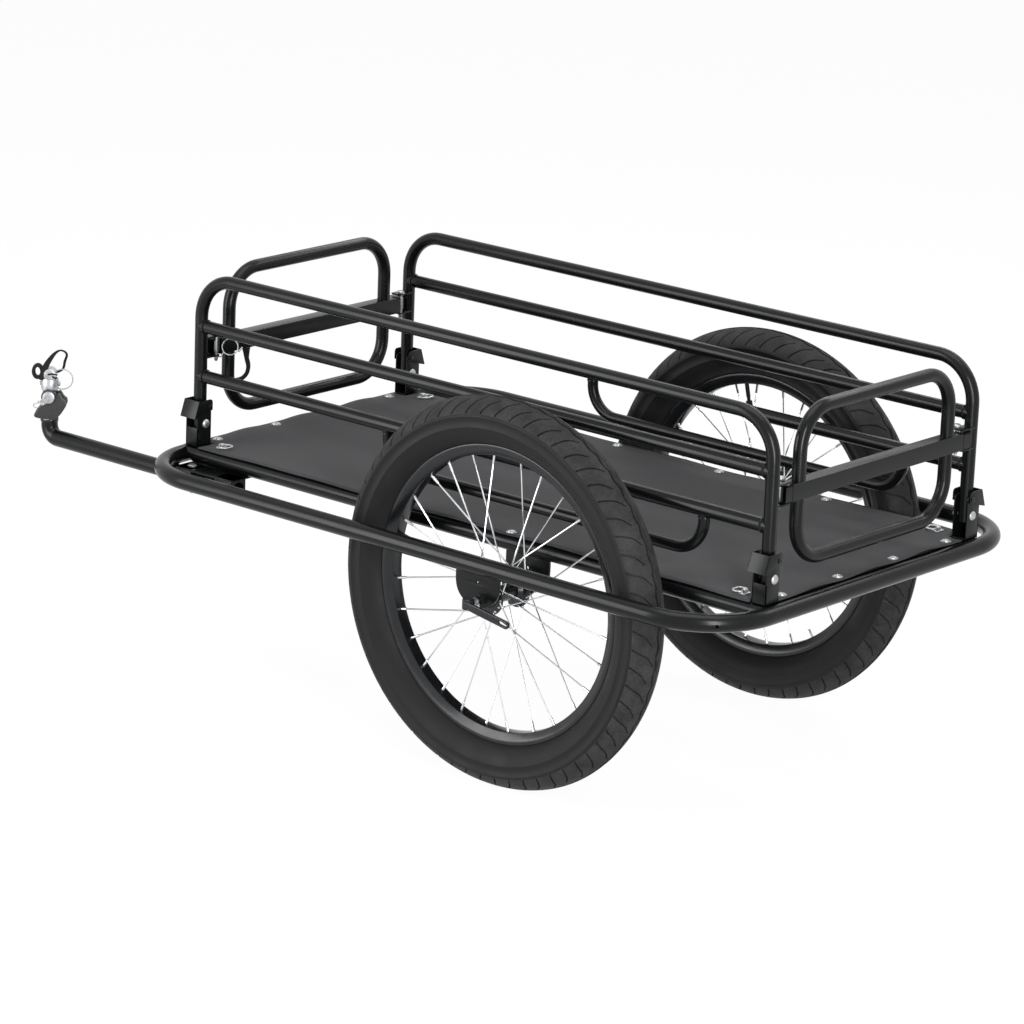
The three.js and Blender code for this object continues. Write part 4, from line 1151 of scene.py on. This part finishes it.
class TRAILER_OT_panels(bpy.types.Operator):
    """Bends the side panels' hoops and sets their rails, wheel guards and lugs"""
    bl_idname = "trailer.panels"
    bl_label = "Side panels"

    def execute(self, context):
        for side, sign in SIDES.items():
            self.add_panel(side, sign)
        return {"FINISHED"}

    def add_panel(self, side, sign):
        y = sign * PANEL_SIDE
        body = f"{side}_panel"
        bm = bmesh.new()
        foot = HOOP_LOW.z
        hoop = [(REAR_POST, y, foot), (REAR_POST, y, PANEL_TOP), (FRONT_POST, y, PANEL_TOP),
                (FRONT_POST, y, foot)]
        tube(bm, hoop, sizes().panel_bend / MM, PANEL_RADIUS, Y, steps=14)
        self.add_lugs(bm, sign)
        piece(f"{side}_hoop_tube", bm, "black_steel", body, [f"{side}_panel_hoop"])
        lower = sizes().lower_rail / MM
        for name, height, node in (("upper", UPPER_RAIL, "upper_rail"),
                                   ("lower", lower, "lower_rail_and_guard")):
            bm = bmesh.new()
            straight(bm, (REAR_POST, y, height), (FRONT_POST, y, height), PANEL_RADIUS,
                     sizes().tube_sides)
            for post, way in ((REAR_POST, 1), (FRONT_POST, -1)):
                weld(bm, (post + way * (PANEL_RADIUS + 0.5), y, height), X * -way, PANEL_RADIUS)
            piece(f"{side}_{name}_rail_tube", bm, "black_steel", body, [f"{side}_panel_{node}"])
        bm = bmesh.new()
        rear, front = WHEEL.x + GUARD_REAR, WHEEL.x + GUARD_FRONT
        guard = [(rear, y, lower), (rear, y, GUARD_BOTTOM), (front, y, GUARD_BOTTOM),
                 (front, y, lower)]
        tube(bm, guard, GUARD_BEND, GUARD_TUBE, Y, steps=12)
        for x in (rear, front):
            weld(bm, (x, y, lower - PANEL_RADIUS - 0.5), Z, GUARD_TUBE, 1.6)
        piece(f"{side}_guard_tube", bm, "black_steel", body)

    def add_lugs(self, bm, sign):
        """The folded plates on each post that hold a gate bar's end between them."""
        wide = PANEL_SIDE - min(PANEL_SIDE, HOOP_LOW.y)
        low = GATE_BAR_LOW.z - LUG_PLAY[0] - LUG_THICKNESS / 2
        high = GATE_BAR_HIGH.z + LUG_PLAY[1] + LUG_THICKNESS / 2
        for post in (FRONT_POST, REAR_POST):
            for z in (low, high):
                centre = Vector((post, sign * (PANEL_SIDE - wide / 2), z))
                add_plate(bm, round_box(LUG_WIDTH, wide, 2), LUG_THICKNESS, centre, X, Y)


# Fold channels and latches

CHANNEL_WALL = 2
CHANNEL_PLAY = 0.3
CHANNEL_CORNER = 7
CHANNEL_FOOT_CORNER = 1.5
WEB_HEIGHT = 370
FOLD_BOLT = 375
FOLD_BOLT_RADIUS = 4
FOLD_NUT = (6.6, 4.6)
FOLD_BOLT_HEAD = [(0, 0), (6.8, 0), (6.8, 1.2), (5.6, 2.6), (3.2, 3.5), (0, 3.5)]
LATCH_HALF = 15.2
LATCH_WALL = 1.5
LATCH_CORNER = 6
LATCH_PLAY = 0.4
# The latch's crown outside the panel's middle, and its rivet inside it and above the floor
LATCH_CROWN = 16.6
LATCH_RIVET = (5.75, 400.25)
LATCH_RIVET_RADIUS = 2.3
LATCH_RIVET_HEAD = (3.6, 1.6)
# The cheek's lower corners: under the rivet, and inside the flared plate's edge
LATCH_HEEL = 5.5
LATCH_TOE = 2.5


class TRAILER_OT_channels(bpy.types.Operator):
    """Folds the four corner channels and hangs a latch on each"""
    bl_idname = "trailer.channels"
    bl_label = "Fold channels and latches"

    def execute(self, context):
        for name, post, sign in CORNERS:
            self.add_channel(name, post, sign)
            self.add_latch(name, post, sign)
        return {"FINISHED"}

    def add_cheeks(self, bm, outline, post, half, wall):
        """A plate on each side of the post, square to X."""
        for way in BOTH_WAYS:
            spot = Vector((post + way * (half - wall / 2), 0, 0))
            add_plate(bm, outline, wall, spot, Y, Z)

    def add_channel(self, name, post, sign):
        node = f"{name}_fold_channel"
        low, high = span(node)
        inner, outer = inside_out(node, sign)
        half = PANEL_RADIUS + CHANNEL_PLAY + CHANNEL_WALL
        foot, top = low.z, high.z
        edge = (inner + sign * CHANNEL_CORNER, top)
        bm = bmesh.new()
        cheek = [(inner, foot), (outer, foot), (outer, top)]
        cheek += curve_between(edge, (inner, top), (inner, top - CHANNEL_CORNER))
        self.add_cheeks(bm, cheek, post, half, CHANNEL_WALL)
        web = [(-half, foot), (half, foot), (half, WEB_HEIGHT), (-half, WEB_HEIGHT)]
        spot = Vector((post, outer - sign * CHANNEL_WALL / 2, 0))
        add_plate(bm, web, CHANNEL_WALL, spot, X, Z)
        base = Vector((post, (inner + outer) / 2, foot + CHANNEL_WALL / 2))
        foot = round_box(half * 2, abs(outer - inner), CHANNEL_FOOT_CORNER)
        add_plate(bm, foot, CHANNEL_WALL, base, X, Y)
        piece(f"{name}_corner_channel", bm, "black_steel", "frame", [node])
        bm = bmesh.new()
        pivot = Vector((post, sign * PANEL_SIDE, FOLD_BOLT))
        straight(bm, pivot - X * half, pivot + X * half, FOLD_BOLT_RADIUS, 20)
        turn(bm, FOLD_BOLT_HEAD, pivot - X * half, -X, 28)
        hex_nut(bm, pivot + X * half, X, *FOLD_NUT)
        piece(f"{name}_fold_bolt", bm, "zinc_steel", "frame")

    def add_latch(self, name, post, sign):
        node = f"{name}_latch"
        low, high = span(node)
        inner, flare = inside_out(node, sign)
        crown = sign * (PANEL_SIDE + LATCH_CROWN)
        foot, top = low.z, high.z
        inset, height = LATCH_RIVET
        rivet = Vector((post, sign * (PANEL_SIDE - inset), height))
        bm = bmesh.new()
        cheek = [(inner, height - LATCH_HEEL), (flare - sign * LATCH_TOE, foot), (flare, foot),
                 (crown, top)]
        cheek += curve_between((inner + sign * LATCH_CORNER, top), (inner, top),
                               (inner, top - LATCH_CORNER))
        self.add_cheeks(bm, cheek, post, LATCH_HALF, LATCH_WALL)
        slope = Vector((0, flare - crown, foot - top))
        across = slope.normalized()
        normal = X.cross(across)
        outline = [(-LATCH_HALF, 0), (LATCH_HALF, 0), (LATCH_HALF, slope.length),
                   (-LATCH_HALF, slope.length)]
        shift = normal * (-1 if normal.y * sign > 0 else 1) * LATCH_WALL / 2
        add_plate(bm, outline, LATCH_WALL, Vector((post, crown, top)) + shift, X, across)
        piece(f"{name}_latch_cap", bm, "black_steel", f"{name}_catch", [node])
        bm = bmesh.new()
        for way in BOTH_WAYS:
            end = rivet + X * way * LATCH_HALF
            bolt_head(bm, end, X * way, *LATCH_RIVET_HEAD, 16)
            start = rivet + X * way * (PANEL_RADIUS + LATCH_PLAY)
            straight(bm, start, end, LATCH_RIVET_RADIUS, 12)
        piece(f"{name}_latch_rivets", bm, "black_alloy", f"{name}_catch")


# Gates, their pins and the lanyard

BAR_WALL = 1.8
BAR_CORNER = 1.6
# The bar is welded up from three runs, which meet this far inside the hoop's outer edge
BAR_SEAM = 4
# Each of its ends is an open fork of this length
TAB_LENGTH = 15
# The notch in the fork: its pin's distance inside the panel's middle, and half its width
NOTCH_INSET = 25
NOTCH_HALF = 6
PIN_RADIUS = 3
# The pin's tapered tip: its radius and its length
PIN_TIP = (1.6, 2.4)
PIN_HEAD = [(0, 0), (5.6, 0), (5.9, 0.8), (5.9, 3.2), (4.6, 4.6), (0, 5)]
# The lanyard's middle line on the gate and its width along it, from its top to the tube
LANYARD_LINE = [(130, 480), (130, 472), (129.5, 464), (128.5, 454.6), (125, 443.1),
                (127.8, 432.6), (137, 426.5), (149.5, 425.9), (160, 427.5)]
LANYARD_WIDTHS = [17, 17, 12.5, 8.5, 8.5, 8, 7, 6, 5]
LANYARD_THICKNESS = 1.6
CLIP_RADIUS = 1.4
CLIP_LINE = ((370.6, 158.5, 472.4), (370.6, 151.3, 477.3))
PULL_RING = 11.6
PULL_RING_WIRE = 0.9
PULL_RING_SPOT = (361, 187, 485.6)
PULL_RING_AXIS = (-0.62, 0.735, 0.277)
PIN_WIRE = ((376, 199.7, 470.5), (368, 199, 471.5), (365.9, 195.3, 477.8))


class TRAILER_OT_gates(bpy.types.Operator):
    """Bends the end gates and sets their bars, their pins and the lanyard"""
    bl_idname = "trailer.gates"
    bl_label = "Gates"

    def execute(self, context):
        for name, inward in (("front", -1), ("rear", 1)):
            self.add_gate(name, inward)
        for name, _, _ in CORNERS:
            self.add_pin(name)
        self.add_lanyard()
        return {"FINISHED"}

    def add_gate(self, name, inward):
        low, high = span(f"{name}_gate_hoop")
        x = middle(f"{name}_gate_hoop").x
        top, bottom = high.z - PANEL_RADIUS, low.z + PANEL_RADIUS
        half = high.y - PANEL_RADIUS
        body = f"{name}_gate"
        bm = bmesh.new()
        ring = [(x, half, top), (x, half, bottom), (x, -half, bottom), (x, -half, top)]
        tube(bm, ring, sizes().gate_bend / MM, PANEL_RADIUS, X, closed=True, steps=14)
        piece(f"{name}_gate_tube", bm, "black_steel", body, [f"{name}_gate_hoop"])
        bar_low, bar_high = span(f"{name}_gate_bar")
        centre = middle(f"{name}_gate_bar")
        depth, reach, tall = bar_high.x - bar_low.x, bar_high.y, bar_high.z - bar_low.z
        end, hoop = reach - TAB_LENGTH + 1, high.y - BAR_SEAM
        bm = bmesh.new()
        for start, stop in ((-end, -hoop), (-hoop, hoop), (hoop, end)):
            bar(bm, centre, start, stop, round_box(depth, tall, BAR_CORNER))
        back = centre - X * inward * (depth - BAR_WALL) / 2
        for way in BOTH_WAYS:
            bar(bm, back, way * (reach - TAB_LENGTH), way * reach, round_box(BAR_WALL, tall, 0.4))
            for z in (centre.z + tall / 2 - BAR_WALL / 2, centre.z - tall / 2 + BAR_WALL / 2):
                spot = Vector((centre.x, 0, z))
                fork = self.fork(inward * depth / 2, inward * NOTCH_HALF, way, reach)
                add_plate(bm, fork, BAR_WALL, spot, X, Y, 0.3)
        piece(f"{name}_gate_channel", bm, "black_steel", body, [f"{name}_gate_bar"])

    def fork(self, lip, notch, way, reach):
        """The outline of one web of the bar's end, notched round the gate pin."""
        pin = PANEL_SIDE - NOTCH_INSET
        inside = reach - TAB_LENGTH - 1
        points = [(-lip, inside), (-lip, reach), (lip, reach), (lip, pin + NOTCH_HALF),
                  (notch, pin + NOTCH_HALF), (0, pin), (notch, pin - NOTCH_HALF),
                  (lip, pin - NOTCH_HALF), (lip, inside)]
        return [(x, way * y) for x, y in points]

    def add_pin(self, name):
        node = f"{name}_gate_pin"
        low, high = span(node)
        at = middle(node)
        seat = high.z - PIN_HEAD[-1][1]
        length = seat - low.z
        bm = bmesh.new()
        turn(bm, [(0, 0), (PIN_TIP[0], 0), (PIN_RADIUS, PIN_TIP[1]), (PIN_RADIUS, length),
                  (0, length)], at_height(at, low.z), Z, 20)
        turn(bm, PIN_HEAD, at_height(at, seat), Z, 24)
        piece(f"{name}_pin_rod", bm, "zinc_steel", f"{name}_pin", [node])

    def add_lanyard(self):
        """The webbing tail on the front gate, with the clip and the wire ring that it keeps."""
        x = middle("front_gate_hoop").x
        bm = bmesh.new()
        line = [Vector((x, y, z)) for y, z in LANYARD_LINE]
        ribbon(bm, line, X, LANYARD_WIDTHS, LANYARD_THICKNESS)
        piece("gate_lanyard_tail", bm, "webbing", "front_gate", ["gate_lanyard"])
        bm = bmesh.new()
        torus(bm, PULL_RING_SPOT, PULL_RING_AXIS, PULL_RING, PULL_RING_WIRE)
        for start, end in zip(PIN_WIRE, PIN_WIRE[1:]):
            straight(bm, start, end, PULL_RING_WIRE, 12)
        straight(bm, *CLIP_LINE, CLIP_RADIUS, 16)
        piece("gate_pull_ring", bm, "zinc_steel", "front_gate")


# Lashing rings

SADDLE_STRIP = 1.5
# The screws' distance from the saddle's middle, their holes' radius and their heads
SADDLE_SCREW = 5.6
SADDLE_HOLE = 1.1
SADDLE_HEAD = (2.1, 1.1)
# The arch over the ring: half its width, its bends, its section and how far in it ends
SADDLE_LOOP = 2.6
SADDLE_BEND = 0.8
SADDLE_SECTION = (1.1, 6.5, 0.4)
SADDLE_FOOT = 0.8
SADDLE_CROWN = 0.6
RING_BEND = 6.4
RING_PLAY = 0.97


class TRAILER_OT_lashing(bpy.types.Operator):
    """Screws the four saddles to the deck and hangs a ring in each"""
    bl_idname = "trailer.lashing"
    bl_label = "Lashing rings"

    def execute(self, context):
        for name, post, _ in CORNERS:
            self.add_saddle(name)
            self.add_ring(name, post)
        return {"FINISHED"}

    def add_saddle(self, name):
        node = f"{name}_lashing_saddle"
        low, high = span(node)
        at = middle(node)
        bm = bmesh.new()
        holes = [hole(0, way * SADDLE_SCREW, SADDLE_HOLE, 12) for way in BOTH_WAYS]
        add_plate(bm, round_box(high.x - low.x, high.y - low.y, 3), SADDLE_STRIP,
                  at_height(at, low.z + SADDLE_STRIP / 2), X, Y, 0.3, holes)
        foot, crown = low.z + SADDLE_FOOT, high.z - SADDLE_CROWN
        arch = [Vector((at.x + x, at.y, z)) for x, z in (
            (-SADDLE_SCREW, foot), (-SADDLE_LOOP, foot), (-SADDLE_LOOP, crown),
            (SADDLE_LOOP, crown), (SADDLE_LOOP, foot), (SADDLE_SCREW, foot))]
        sweep(bm, bent_line(arch, SADDLE_BEND, 4), round_box(*SADDLE_SECTION), Y)
        for way in BOTH_WAYS:
            seat = at_height(at, low.z + SADDLE_STRIP) + Y * way * SADDLE_SCREW
            bolt_head(bm, seat, Z, *SADDLE_HEAD, 16)
        piece(f"{name}_saddle_strip", bm, "zinc_steel", "frame", [node])

    def add_ring(self, name, post):
        node = f"{name}_lashing_ring"
        low, high = span(node)
        at = middle(node)
        wire = (high.z - low.z) / 2
        half = (high.y - low.y) / 2 - wire
        held, reach = high.x - wire, low.x + wire
        if post == REAR_POST:
            held, reach = reach, held
        bm = bmesh.new()
        ring = [(x, at.y + y, at.z) for x, y in (
            (held, half), (held, -half), (reach, -half), (reach, half))]
        tube(bm, ring, RING_BEND, wire * RING_PLAY, Z, closed=True, steps=12)
        piece(f"{name}_ring_wire", bm, "zinc_steel", f"{name}_ring", [node])


# Tow bar and hitch

TOW_RADIUS = 12.5
TOW_BEND = 18.5
TOW_WALL = 1.8
# The open end is a turned piece of this length, which the bent tube starts inside
TOW_MOUTH = 40
RECEIVER_COLLAR = 33
COLLAR_CORNER = 3
SHELF_CORNER = 4
RECEIVER_BEVEL = 0.6
TOW_PIN_RADIUS = 4
# The pin's tapered tip, its radius and its length, and its head, measured down from its top
TOW_PIN_TIP = (2, 3)
TOW_PIN_HEAD = [(7, -3), (7, -1), (5.5, 0), (0, 0)]
RECEIVER_WALL = 2.7
RECEIVER_REACH = 4.5
HITCH_YAW = 0.7
HITCH_ACROSS = Vector((math.cos(HITCH_YAW), math.sin(HITCH_YAW), 0))
HITCH_OUT = Z.cross(HITCH_ACROSS)
HITCH_CENTRE = Vector((TOW_HIGH.x - TOW_RADIUS * math.cos(math.pi / 12), TOW_SIDE, 0))
HITCH_PIVOT = 366
CHEEK = 9
BLOCK_DEPTH = 30
# The hitch is drawn in its own plane: across it from its middle, and up from the floor
BLOCK_OUTLINE = [
    (-10, 331), (15, 333), (20.5, 334.5), (22, 337.6), (13.5, 350), (5, 357), (-8, 366),
    (-13, 370.8), (-15.5, 370.8), (-20.8, 362.5), (-25, 359.5), (-25.9, 354), (-22.7, 347.5),
    (-18.6, 341),
]
BLOCK_FLOOR = [
    (-10, 331), (15, 333), (20.5, 334.5), (22, 337.6), (13.5, 350), (7, 355), (-22, 355),
    (-25.4, 352), (-22.7, 347.5), (-18.6, 341),
]
CHEEK_BOSS = [(0, 0), (11.4, 0), (11.4, 8), (10.6, 9), (0, 9)]
CLAMP_RING = [(12.4, 0), (13.3, 0.4), (13.6, 1), (13.6, 5), (13, 6), (12.4, 6)]
CLAMP_HEIGHT = 326
# The pivot bolt's head and nut, which stand this far off the cheeks on their bosses
PIVOT_HEAD = (9.4, 3.6)
PIVOT_NUT = (7, 3.4)
BOLT_STAND = 0.6
TAB_OUTLINE = [(4.5, 370.5), (-2, 359.5), (8, 353.8), (12, 355), (13, 360)]
TAB_THICKNESS = 1.4
TAB_BEVEL = 0.3
TAB_RIVETS = [(14.6, 359), (8.2, 356)]
TAB_RIVET_HEAD = (2.2, 1.5)
BLOCK_WIRE = [(17, 357), (23, 356), (21, 351), (16, 350)]
# How far the wire stands off the cheek, its bends and its radius
BLOCK_WIRE_STAND = 2
BLOCK_WIRE_BEND = 1.2
BLOCK_WIRE_RADIUS = 0.8
# A short rod at the block's foot, how far forward it lies, and its radius
BLOCK_SLIVER = [(-1, 331.6), (7, 331.6)]
BLOCK_SLIVER_FRONT = 13.2
BLOCK_SLIVER_RADIUS = 1
SLEEVE = [(0, 373), (10.5, 373), (12.6, 375), (13.1, 376.5), (13.1, 391), (12.3, 392.3),
          (9.8, 392.6), (9.8, 399), (8.8, 401.4), (6, 403), (0, 403.6)]
CROSS_BOSS_SPOT = (-1, 398.5)
CROSS_BOSS = [(0, -10), (8.5, -10), (9.5, -9), (9.5, 9.4), (8.6, 10.6), (6, 11.4), (0, 11.8)]
TONGUE_RADIUS = 7.6
TONGUE_HALF = 7
TONGUE_TOP = 375
TONGUE_DEPTH = 10.6
# The pull pin's far end, the seat of its head and its near end, across the hitch
PULL_PIN_PLACES = (-15.4, -13.4, 14.5)
PULL_PIN_HEIGHT = 384
PULL_PIN_RADIUS = 3
PULL_PIN_HEAD = [(0, 0), (3.6, 0), (3.6, 1.6), (2.8, 2.4), (0, 2.4)]
# The ring's middle, its radius, its wire and how far behind the hitch's plane it hangs
WIRE_RING = ((-18.7, 390), 15.2, 0.9, 3.6)
# The big loop's middle line and its width along it, from its foot on the plug
BIG_STRAP = [
    (10.5, 390), (6, 410), (-2, 424), (-9, 432), (-15.5, 435), (-22, 432.5), (-24.5, 427),
    (-21.5, 417), (-18.5, 405), (-8, 398),
]
BIG_STRAP_WIDTHS = [9.6, 9.2, 6.6, 4, 2.4, 3, 3.6, 4, 3.6, 3]
BIG_STRAP_THICKNESS = 2.2
# It starts this far forward, and falls back by so much from each point to the next
STRAP_FRONT = 8
STRAP_RETREAT = 1.9
# The small loop's middle, its half width and half height, and its section
SMALL_STRAP = ((18, 402), (6.3, 9.3))
SMALL_STRAP_SECTION = (5.2, 9, 1.6)
SMALL_STRAP_STEPS = 32
# Short ties that lie over the cross boss, this far forward
STRAP_TIE_FRONT = 12.2
STRAP_TIES = [[(2, 400), (-5, 401), (-12.5, 400)], [(-5, 397.5), (-9, 395), (-12, 396.5)]]
STRAP_TIE_WIDTHS = [2.4, 2.8, 2.0]
STRAP_TIE_THICKNESS = 1.6


def on_hitch(spot, forward=0.0):
    """A point of the hitch's plane, or this far forward of it."""
    u, z = spot
    return HITCH_CENTRE + HITCH_ACROSS * u + Z * z + HITCH_OUT * forward


class TRAILER_OT_towing(bpy.types.Operator):
    """Bends the tow bar and builds its receiver, its pin and the swivel hitch"""
    bl_idname = "trailer.towing"
    bl_label = "Tow bar and hitch"

    def execute(self, context):
        self.add_bar()
        self.add_receiver()
        self.add_block()
        self.add_sleeve()
        self.add_straps()
        return {"FINISHED"}

    def add_bar(self):
        front, height = TOW_HIGH.x - TOW_RADIUS, TOW_LOW.z + TOW_RADIUS
        bore, floor = TOW_RADIUS - TOW_WALL, TOW_MOUTH - 1
        mouth = [(0, TOW_MOUTH), (TOW_RADIUS, TOW_MOUTH), (TOW_RADIUS, 0.5),
                 (TOW_RADIUS - 0.5, 0), (bore, 0), (bore, floor), (0, floor)]
        bm = bmesh.new()
        turn(bm, mouth, (TOW_LOW.x, TOW_SIDE, height), X, sizes().tube_sides)
        line = [(x, TOW_SIDE, z) for x, z in (
            (TOW_LOW.x + TOW_MOUTH - 2, height), (front, height), (front, TOW_HIGH.z))]
        tube(bm, line, TOW_BEND, TOW_RADIUS, Y, steps=16)
        piece("tow_bar_tube", bm, "black_steel", "frame", ["tow_bar"])

    def add_receiver(self):
        low, high = span("tow_receiver")
        half = high.y - TOW_SIDE
        high.x += RECEIVER_REACH
        bm = bmesh.new()
        for x in (low.x + RECEIVER_COLLAR / 2, high.x - RECEIVER_COLLAR / 2):
            add_plate(bm, round_box(2 * half, 2 * half, COLLAR_CORNER), RECEIVER_COLLAR,
                      Vector((x, TOW_SIDE, high.z - half)), Y, Z, RECEIVER_BEVEL,
                      [circle(half - RECEIVER_WALL, 32)])
        shelf = at_height((low + high) / 2, high.z - RECEIVER_WALL / 2)
        outline = round_box(high.x - low.x, high.y - low.y, SHELF_CORNER)
        add_plate(bm, outline, RECEIVER_WALL, shelf, X, Y, RECEIVER_BEVEL)
        piece("receiver_collars", bm, "black_steel", "frame", ["tow_receiver"])
        low, high = span("tow_bar_pin")
        bm = bmesh.new()
        point, taper = TOW_PIN_TIP
        head = [(radius, high.z + down) for radius, down in TOW_PIN_HEAD]
        turn(bm, [(0, low.z), (point, low.z), (TOW_PIN_RADIUS, low.z + taper),
                  (TOW_PIN_RADIUS, head[0][1]), *head],
             at_height(middle("tow_bar_pin"), 0), Z, 24)
        piece("receiver_pin", bm, "zinc_steel", "tow_pin", ["tow_bar_pin"])

    def add_block(self):
        """The swivel block: two cheeks on a solid foot, with the pivot bolt through them."""
        across, out = HITCH_ACROSS, HITCH_OUT
        pivot = HITCH_CENTRE + Z * HITCH_PIVOT
        half = BLOCK_DEPTH / 2
        bm = bmesh.new()
        for way in BOTH_WAYS:
            shift = out * way * (half - CHEEK / 2)
            add_plate(bm, BLOCK_OUTLINE, CHEEK, HITCH_CENTRE + shift, across, Z, 1.0)
            turn(bm, CHEEK_BOSS, pivot + out * way * (half - CHEEK + BOLT_STAND), out * way, 40)
        add_plate(bm, BLOCK_FLOOR, BLOCK_DEPTH - 2, HITCH_CENTRE, across, Z, 1.0)
        piece("hitch_block_body", bm, "nylon", "hitch_swivel", ["hitch_swivel_block"])
        bm = bmesh.new()
        turn(bm, CLAMP_RING, HITCH_CENTRE + Z * CLAMP_HEIGHT, Z, 40)
        piece("hitch_clamp_ring", bm, "black_alloy", "hitch_swivel")
        bm = bmesh.new()
        bolt_head(bm, pivot + out * (half + BOLT_STAND), out, *PIVOT_HEAD, 32)
        hex_nut(bm, pivot - out * (half + BOLT_STAND), -out, *PIVOT_NUT)
        front = half + 2 * BOLT_STAND
        tab_middle = HITCH_CENTRE + out * (front + TAB_THICKNESS / 2)
        add_plate(bm, TAB_OUTLINE, TAB_THICKNESS, tab_middle, across, Z, TAB_BEVEL)
        for spot in TAB_RIVETS:
            bolt_head(bm, on_hitch(spot, front + TAB_THICKNESS), out, *TAB_RIVET_HEAD, 16)
        wire = [on_hitch(spot, front + BLOCK_WIRE_STAND) for spot in BLOCK_WIRE]
        tube(bm, wire, BLOCK_WIRE_BEND, BLOCK_WIRE_RADIUS, out, steps=3)
        start, end = (on_hitch(spot, BLOCK_SLIVER_FRONT) for spot in BLOCK_SLIVER)
        straight(bm, start, end, BLOCK_SLIVER_RADIUS, 12)
        piece("hitch_pivot_bolt", bm, "zinc_steel", "hitch_swivel")

    def add_sleeve(self):
        """The turned head, its tongue between the cheeks, and the pull pin across it."""
        across, out = HITCH_ACROSS, HITCH_OUT
        bm = bmesh.new()
        turn(bm, SLEEVE, HITCH_CENTRE, Z, 40)
        turn(bm, CROSS_BOSS, on_hitch(CROSS_BOSS_SPOT), out, 40)
        tongue = [(-TONGUE_HALF, TONGUE_TOP), (-TONGUE_HALF, HITCH_PIVOT),
                  *arc(0, HITCH_PIVOT, TONGUE_RADIUS, 2, 4, 16),
                  (TONGUE_HALF, HITCH_PIVOT), (TONGUE_HALF, TONGUE_TOP)]
        add_plate(bm, tongue, TONGUE_DEPTH, HITCH_CENTRE, across, Z, 0.5)
        piece("hitch_sleeve_turned", bm, "zinc_steel", "hitch_head", ["hitch_sleeve"])
        bm = bmesh.new()
        start, seat, end = (on_hitch((u, PULL_PIN_HEIGHT)) for u in PULL_PIN_PLACES)
        straight(bm, start, end, PULL_PIN_RADIUS, 20)
        turn(bm, PULL_PIN_HEAD, seat, -across, 20)
        spot, radius, wire, behind = WIRE_RING
        torus(bm, on_hitch(spot, -behind), out, radius, wire)
        piece("hitch_pull_pin_rod", bm, "zinc_steel", "pull_pin", ["hitch_pull_pin"])

    def add_straps(self):
        """The safety strap's two loops and the ties beside them."""
        bm = bmesh.new()
        line = [on_hitch(spot, STRAP_FRONT - i * STRAP_RETREAT)
                for i, spot in enumerate(BIG_STRAP)]
        ribbon(bm, line, HITCH_OUT, BIG_STRAP_WIDTHS, BIG_STRAP_THICKNESS)
        (u, z), (half, rise) = SMALL_STRAP
        angles = [FULL_TURN * i / SMALL_STRAP_STEPS for i in range(SMALL_STRAP_STEPS)]
        ring = [on_hitch((u + half * math.sin(a), z + rise * math.cos(a))) for a in angles]
        tangents = [(after - before).normalized()
                    for before, after in zip(ring[-1:] + ring[:-1], ring[1:] + ring[:1])]
        section = round_box(*SMALL_STRAP_SECTION)
        sweep(bm, list(zip(ring, tangents)), section, HITCH_OUT, closed=True)
        for tie in STRAP_TIES:
            line = [on_hitch(spot, STRAP_TIE_FRONT) for spot in tie]
            ribbon(bm, line, HITCH_OUT, STRAP_TIE_WIDTHS, STRAP_TIE_THICKNESS)
        piece("safety_strap_loops", bm, "webbing", "hitch_head", ["safety_strap"])


OPERATORS = [
    TRAILER_OT_stage, TRAILER_OT_frame, TRAILER_OT_deck, TRAILER_OT_axles, TRAILER_OT_wheels,
    TRAILER_OT_panels, TRAILER_OT_channels, TRAILER_OT_gates, TRAILER_OT_lashing,
    TRAILER_OT_towing,
]


class TRAILER_PT_build(bpy.types.Panel):
    """The trailer's pieces, one button each"""
    bl_idname = "TRAILER_PT_build"
    bl_label = "Cargo trailer"
    bl_space_type = "VIEW_3D"
    bl_region_type = "UI"
    bl_category = "Trailer"

    def draw(self, context):
        layout = self.layout
        for group in (context.scene.trailer_sizes, context.scene.trailer_colours):
            for name in group.bl_rna.properties.keys():
                if name not in ("rna_type", "name"):
                    layout.prop(group, name)
        for operator in OPERATORS:
            layout.operator(operator.bl_idname)


CLASSES = [TrailerSizes, TrailerColours, *OPERATORS, TRAILER_PT_build]


def register():
    for cls in CLASSES:
        bpy.utils.register_class(cls)
    bpy.types.Scene.trailer_sizes = PointerProperty(type=TrailerSizes)
    bpy.types.Scene.trailer_colours = PointerProperty(type=TrailerColours)


def unregister():
    del bpy.types.Scene.trailer_colours
    del bpy.types.Scene.trailer_sizes
    for cls in reversed(CLASSES):
        bpy.utils.unregister_class(cls)


def main():
    register()
    for operator in OPERATORS:
        group, name = operator.bl_idname.split(".")
        getattr(getattr(bpy.ops, group), name)()


if __name__ == "__main__":
    main()
